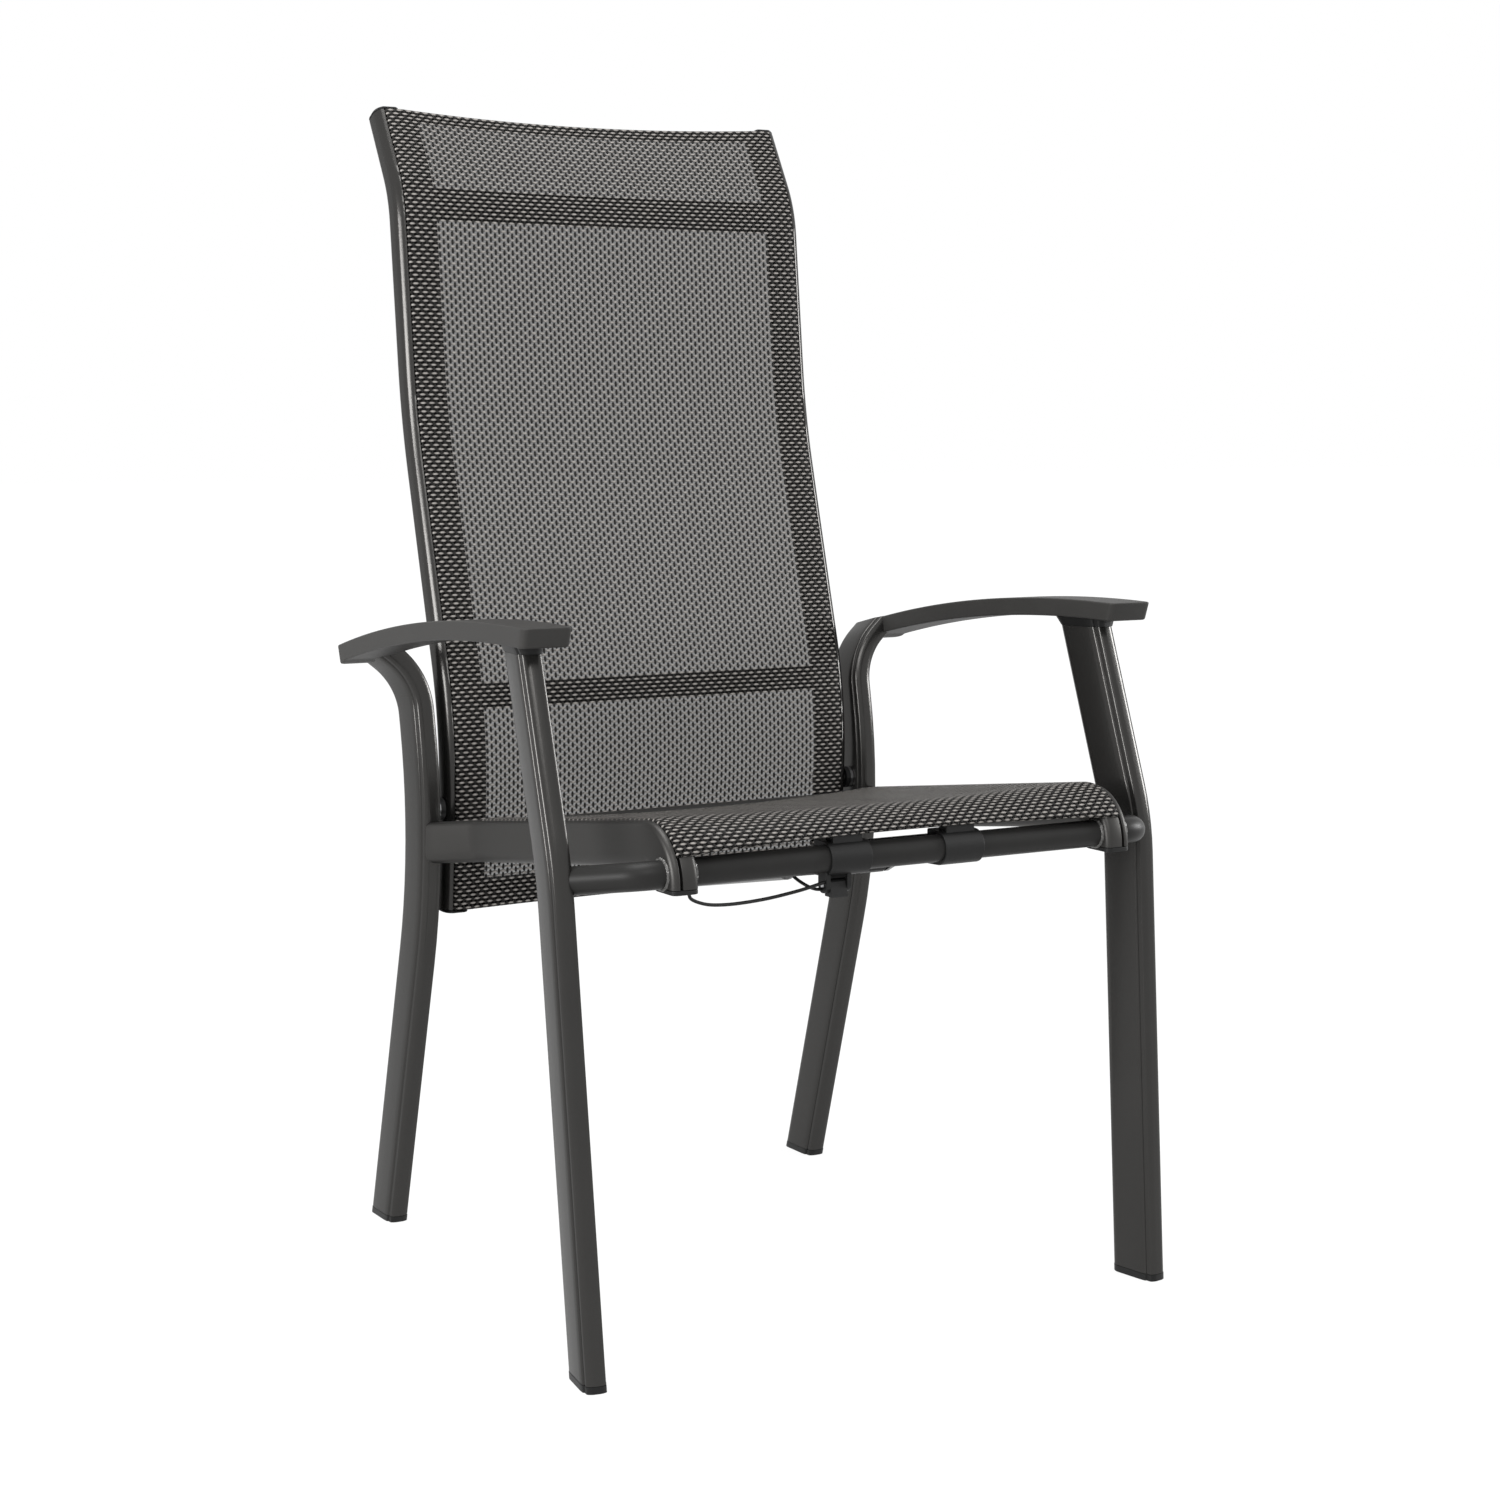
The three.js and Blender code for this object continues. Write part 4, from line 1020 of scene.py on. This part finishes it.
# %% Release cables
cable_points = {
    "release_cable_rail": [
        (-79.1, FRONT_BAR_Y - 4, 408), (-84, FRONT_BAR_Y - 4, 407), (-97, FRONT_BAR_Y - 3, 404),
        (-111, FRONT_BAR_Y - 2, 401.5), (-131, FRONT_BAR_Y - 2, 399), (-152, FRONT_BAR_Y - 4, 398),
        (-172, FRONT_BAR_Y - 6, 398), (-190, FRONT_BAR_Y - 8, 399.5), (-202, FRONT_BAR_Y - 9, 402.5),
        (-210, FRONT_BAR_Y - 9, 406.5), (-212, FRONT_BAR_Y - 9, 411.1),
    ],
    "release_cable_spring": [
        (-79.1, FRONT_BAR_Y + 2.5, 401), (-84, FRONT_BAR_Y + 2, 401.7), (-90, FRONT_BAR_Y + 3, 404),
        (-94.5, FRONT_BAR_Y + 11, 408), (-95.5, FRONT_BAR_Y + 20, 411.5), (-90, FRONT_BAR_Y + 34, 413),
        (-70, FRONT_BAR_Y + 50, 412), (-40, -201.5, 408), (-21, -195.5, 404.3), (-12.6, -195.5, 404),
    ],
}


CURVE_STEPS = 4
CABLE_THICK = 3


def smooth_line(points):
    """Points of a smooth curve through the given ones."""
    ends = [points[0] * 2 - points[1]] + points + [points[-1] * 2 - points[-2]]
    line = []
    for before, start, stop, after in zip(ends, ends[1:], ends[2:], ends[3:]):
        for k in range(CURVE_STEPS):
            t = k / CURVE_STEPS
            line.append(0.5 * (
                2 * start + (stop - before) * t + (2 * before - 5 * start + 4 * stop - after) * t ** 2
                + (3 * start - before - 3 * stop + after) * t ** 3
            ))
    return line + [points[-1]]


for name, points in cable_points.items():
    line = smooth_line([at(*point) for point in points])
    curve = bpy.data.curves.new(name + "_line", "CURVE")
    curve.dimensions = "3D"
    curve.bevel_depth = CABLE_THICK / 2 * MM
    curve.bevel_resolution = 3
    curve.use_fill_caps = True
    spline = curve.splines.new("POLY")
    spline.points.add(len(line) - 1)
    for point, place in zip(spline.points, line):
        point.co = (*place, 1)
    cable = bpy.data.objects.new(name + "_line", curve)
    bpy.context.scene.collection.objects.link(cable)
    curve.materials.append(black_plastic)
    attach(cable, "frame")
    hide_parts(name)
    length = sum((after - before).length for before, after in zip(line, line[1:]))
    print(name, "is", round(length / MM), "mm long")

# %% [markdown]
# ## Clamps
# Two plastic saddles sit on the front bar. In front they hug the round bar closely, behind they are square, and a lug
# stands on top under the cloth. The left one also carries two ears that hold the release lever's pin, and a web
# between them that closes the gap above the lever.

# %% Bar clamps
CLAMP_X, CLAMP_WIDE, LUG_WIDE = 57.5, 40, 29
LEVER_X, LEVER_WIDE, EAR_THICK, EAR_RADIUS, PIN_Z = -66.5, 16, 4, 7, 405


def side_block(bm, corners, x_from, x_to):
    """A side view with corners (y, z, rounding, steps), pushed from one x to another."""
    part = bmesh.new()
    outline(part, corners)
    stand_up = Matrix(((0, 0, 1, 0), (1, 0, 0, 0), (0, 1, 0, 0), (0, 0, 0, 1)))
    bmesh.ops.transform(part, matrix=stand_up, verts=part.verts)
    bmesh.ops.translate(part, vec=at(x_from, FRONT_BAR_Y, BAR_Z), verts=part.verts)
    push(part, list(part.edges), ((x_to - x_from) * MM, 0, 0))
    close_ends(part)
    bmesh.ops.recalc_face_normals(part, faces=part.faces)
    finished = bpy.data.meshes.new("block")
    part.to_mesh(finished)
    part.free()
    bm.from_mesh(finished)


for side, name in ((1, "right"), (-1, "left")):
    clamp = bmesh.new()
    middle = side * CLAMP_X
    saddle = [(-14.2, -14.2, 13.4, 10), (16, -15.5, 1.0, 2), (16, 15.5, 1.0, 2), (-14.2, 14.2, 13.4, 10)]
    side_block(clamp, saddle, middle - CLAMP_WIDE / 2, middle + CLAMP_WIDE / 2)
    lug = [(-6, 10, 0, 0), (6, 10, 0, 0), (6, 21.5, 1.5, 3), (-6, 21.5, 1.5, 3)]
    side_block(clamp, lug, middle - LUG_WIDE / 2, middle + LUG_WIDE / 2)
    if side < 0:
        drop = PIN_Z - BAR_Z
        ear = [
            (EAR_RADIUS, -10, 0, 0), (-EAR_RADIUS, -10, 0, 0), (-EAR_RADIUS, drop - EAR_RADIUS, EAR_RADIUS * 0.95, 8),
            (EAR_RADIUS, drop - EAR_RADIUS, EAR_RADIUS * 0.95, 8),
        ]
        web = [(6, -10, 0, 0), (-6, -10, 0, 0), (-6, drop + 6, 0.5, 2), (6, drop + 6, 0.5, 2)]
        side_block(clamp, web, LEVER_X - LEVER_WIDE / 2 - 0.5, LEVER_X + LEVER_WIDE / 2 + 0.5)
        for way in (-1, 1):
            inner = LEVER_X + way * (LEVER_WIDE / 2 + 0.3)
            side_block(clamp, ear, inner, inner + way * EAR_THICK)
    piece(f"bar_clamp_shaped_{name}", clamp, black_plastic, "frame", f"bar_clamp_{name}", bevel=0.6)
print("clamp faces:", made_count["bar_clamp_shaped_left"])

# %% [markdown]
# ## Hardware
# The small parts are right as the frame has them, so they only get a finish.

# %% Finishes on the frame's own parts
hardware = {
    zinc: ("pivot_stud_right", "pivot_stud_left", "pivot_nut_right", "pivot_nut_left", "release_lever_pin",
           "spring_front_pin", "spring_rod", "spring_rear_pin"),
    black_plastic: ("pivot_spacer_right", "pivot_spacer_left", "release_lever", "spring_release_head"),
    black_lacquer: ("spring_yoke", "spring_cylinder", "spring_rear_bracket"),
}
for finish, names in hardware.items():
    for name in names:
        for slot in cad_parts[name].material_slots:
            slot.material = finish
print("hardware parts:", sum(len(names) for names in hardware.values()))

# %% [markdown]
# ## Floor, background and light
# The chair stands on a pale studio floor that fades into a white background. The camera and reflections see the world
# as white. They see the floor so too, but for a share of its own shading near the chair, which keeps the soft shadow.


# %% Floor
def seen_by_eye(tree):
    """1 for rays from the camera, a mirror or glass, 0 for light that falls on the chair."""
    rays = tree.nodes.new("ShaderNodeLightPath")
    seen = Value(tree, rays.outputs["Is Camera Ray"]) + Value(tree, rays.outputs["Is Glossy Ray"])
    return (seen + Value(tree, rays.outputs["Is Transmission Ray"])).clamped()


floor_mesh = bmesh.new()
bmesh.ops.create_grid(floor_mesh, x_segments=1, y_segments=1, size=30)
floor_data = bpy.data.meshes.new("floor")
floor_mesh.to_mesh(floor_data)
floor_mesh.free()
floor = bpy.data.objects.new("floor", floor_data)
floor.location.z = -0.0005
bpy.context.scene.collection.objects.link(floor)
floor_finish, tree, shader, place = finish_start("floor_white")
shader.inputs["Base Color"].default_value = (0.86, 0.86, 0.86, 1)
shader.inputs["Roughness"].default_value = 0.9
away = Value(tree, place.node("ShaderNodeVectorMath", {"operation": "LENGTH"}, i0=place).socket.node.outputs["Value"])
far = ((away - 0.7) * 0.8).clamped()
seen = seen_by_eye(tree) * (far * 0.15 + 0.85)
glow = tree.nodes.new("ShaderNodeEmission")
glow.inputs["Color"].default_value = (1, 1, 1, 1)
glow.inputs["Strength"].default_value = 1.05
blend = tree.nodes.new("ShaderNodeMixShader")
tree.links.new(seen.socket, blend.inputs[0])
tree.links.new(shader.outputs[0], blend.inputs[1])
tree.links.new(glow.outputs[0], blend.inputs[2])
tree.links.new(blend.outputs[0], tree.nodes["Material Output"].inputs["Surface"])
floor_data.materials.append(floor_finish)

# %% [markdown]
# The world gives an even light from all sides. Four large soft lamps are added to it, and what shows of them in the
# coated tubes are the bright lines along the rounded corners.

# %% World and lamps
world = bpy.data.worlds.new("studio")
bpy.context.scene.world = world
world.use_nodes = True
background = world.node_tree.nodes["Background"]
background.inputs["Color"].default_value = (1, 1, 1, 1)
seen = seen_by_eye(world.node_tree)
world.node_tree.links.new((seen * 0.35 + 0.65).socket, background.inputs["Strength"])


def soft_lamp(name, place, aim, size, power):
    lamp = bpy.data.lights.new(name, "AREA")
    lamp.shape = "RECTANGLE"
    lamp.size, lamp.size_y = size
    lamp.energy = power
    holder = bpy.data.objects.new(name, lamp)
    holder.location = place
    holder.rotation_euler = (Vector(aim) - Vector(place)).to_track_quat("-Z", "Y").to_euler()
    bpy.context.scene.collection.objects.link(holder)


soft_lamp("left_box", (-2.85, -0.5, 1.1), (0, 0, 0.8), (1.4, 0.9), 84)
soft_lamp("right_box", (2.9, -0.7, 1.2), (0, 0, 0.8), (0.9, 0.9), 72)
soft_lamp("front_box", (-0.8, -2.4, 2.5), (0, 0, 0.6), (1.4, 1.0), 30)
soft_lamp("above", (-0.4, 0.2, 3.2), (0, 0, 0.5), (2.0, 1.4), 72)
bpy.context.scene.view_settings.view_transform = "Standard"
print("pieces:", len(made_count), "faces:", sum(made_count.values()))
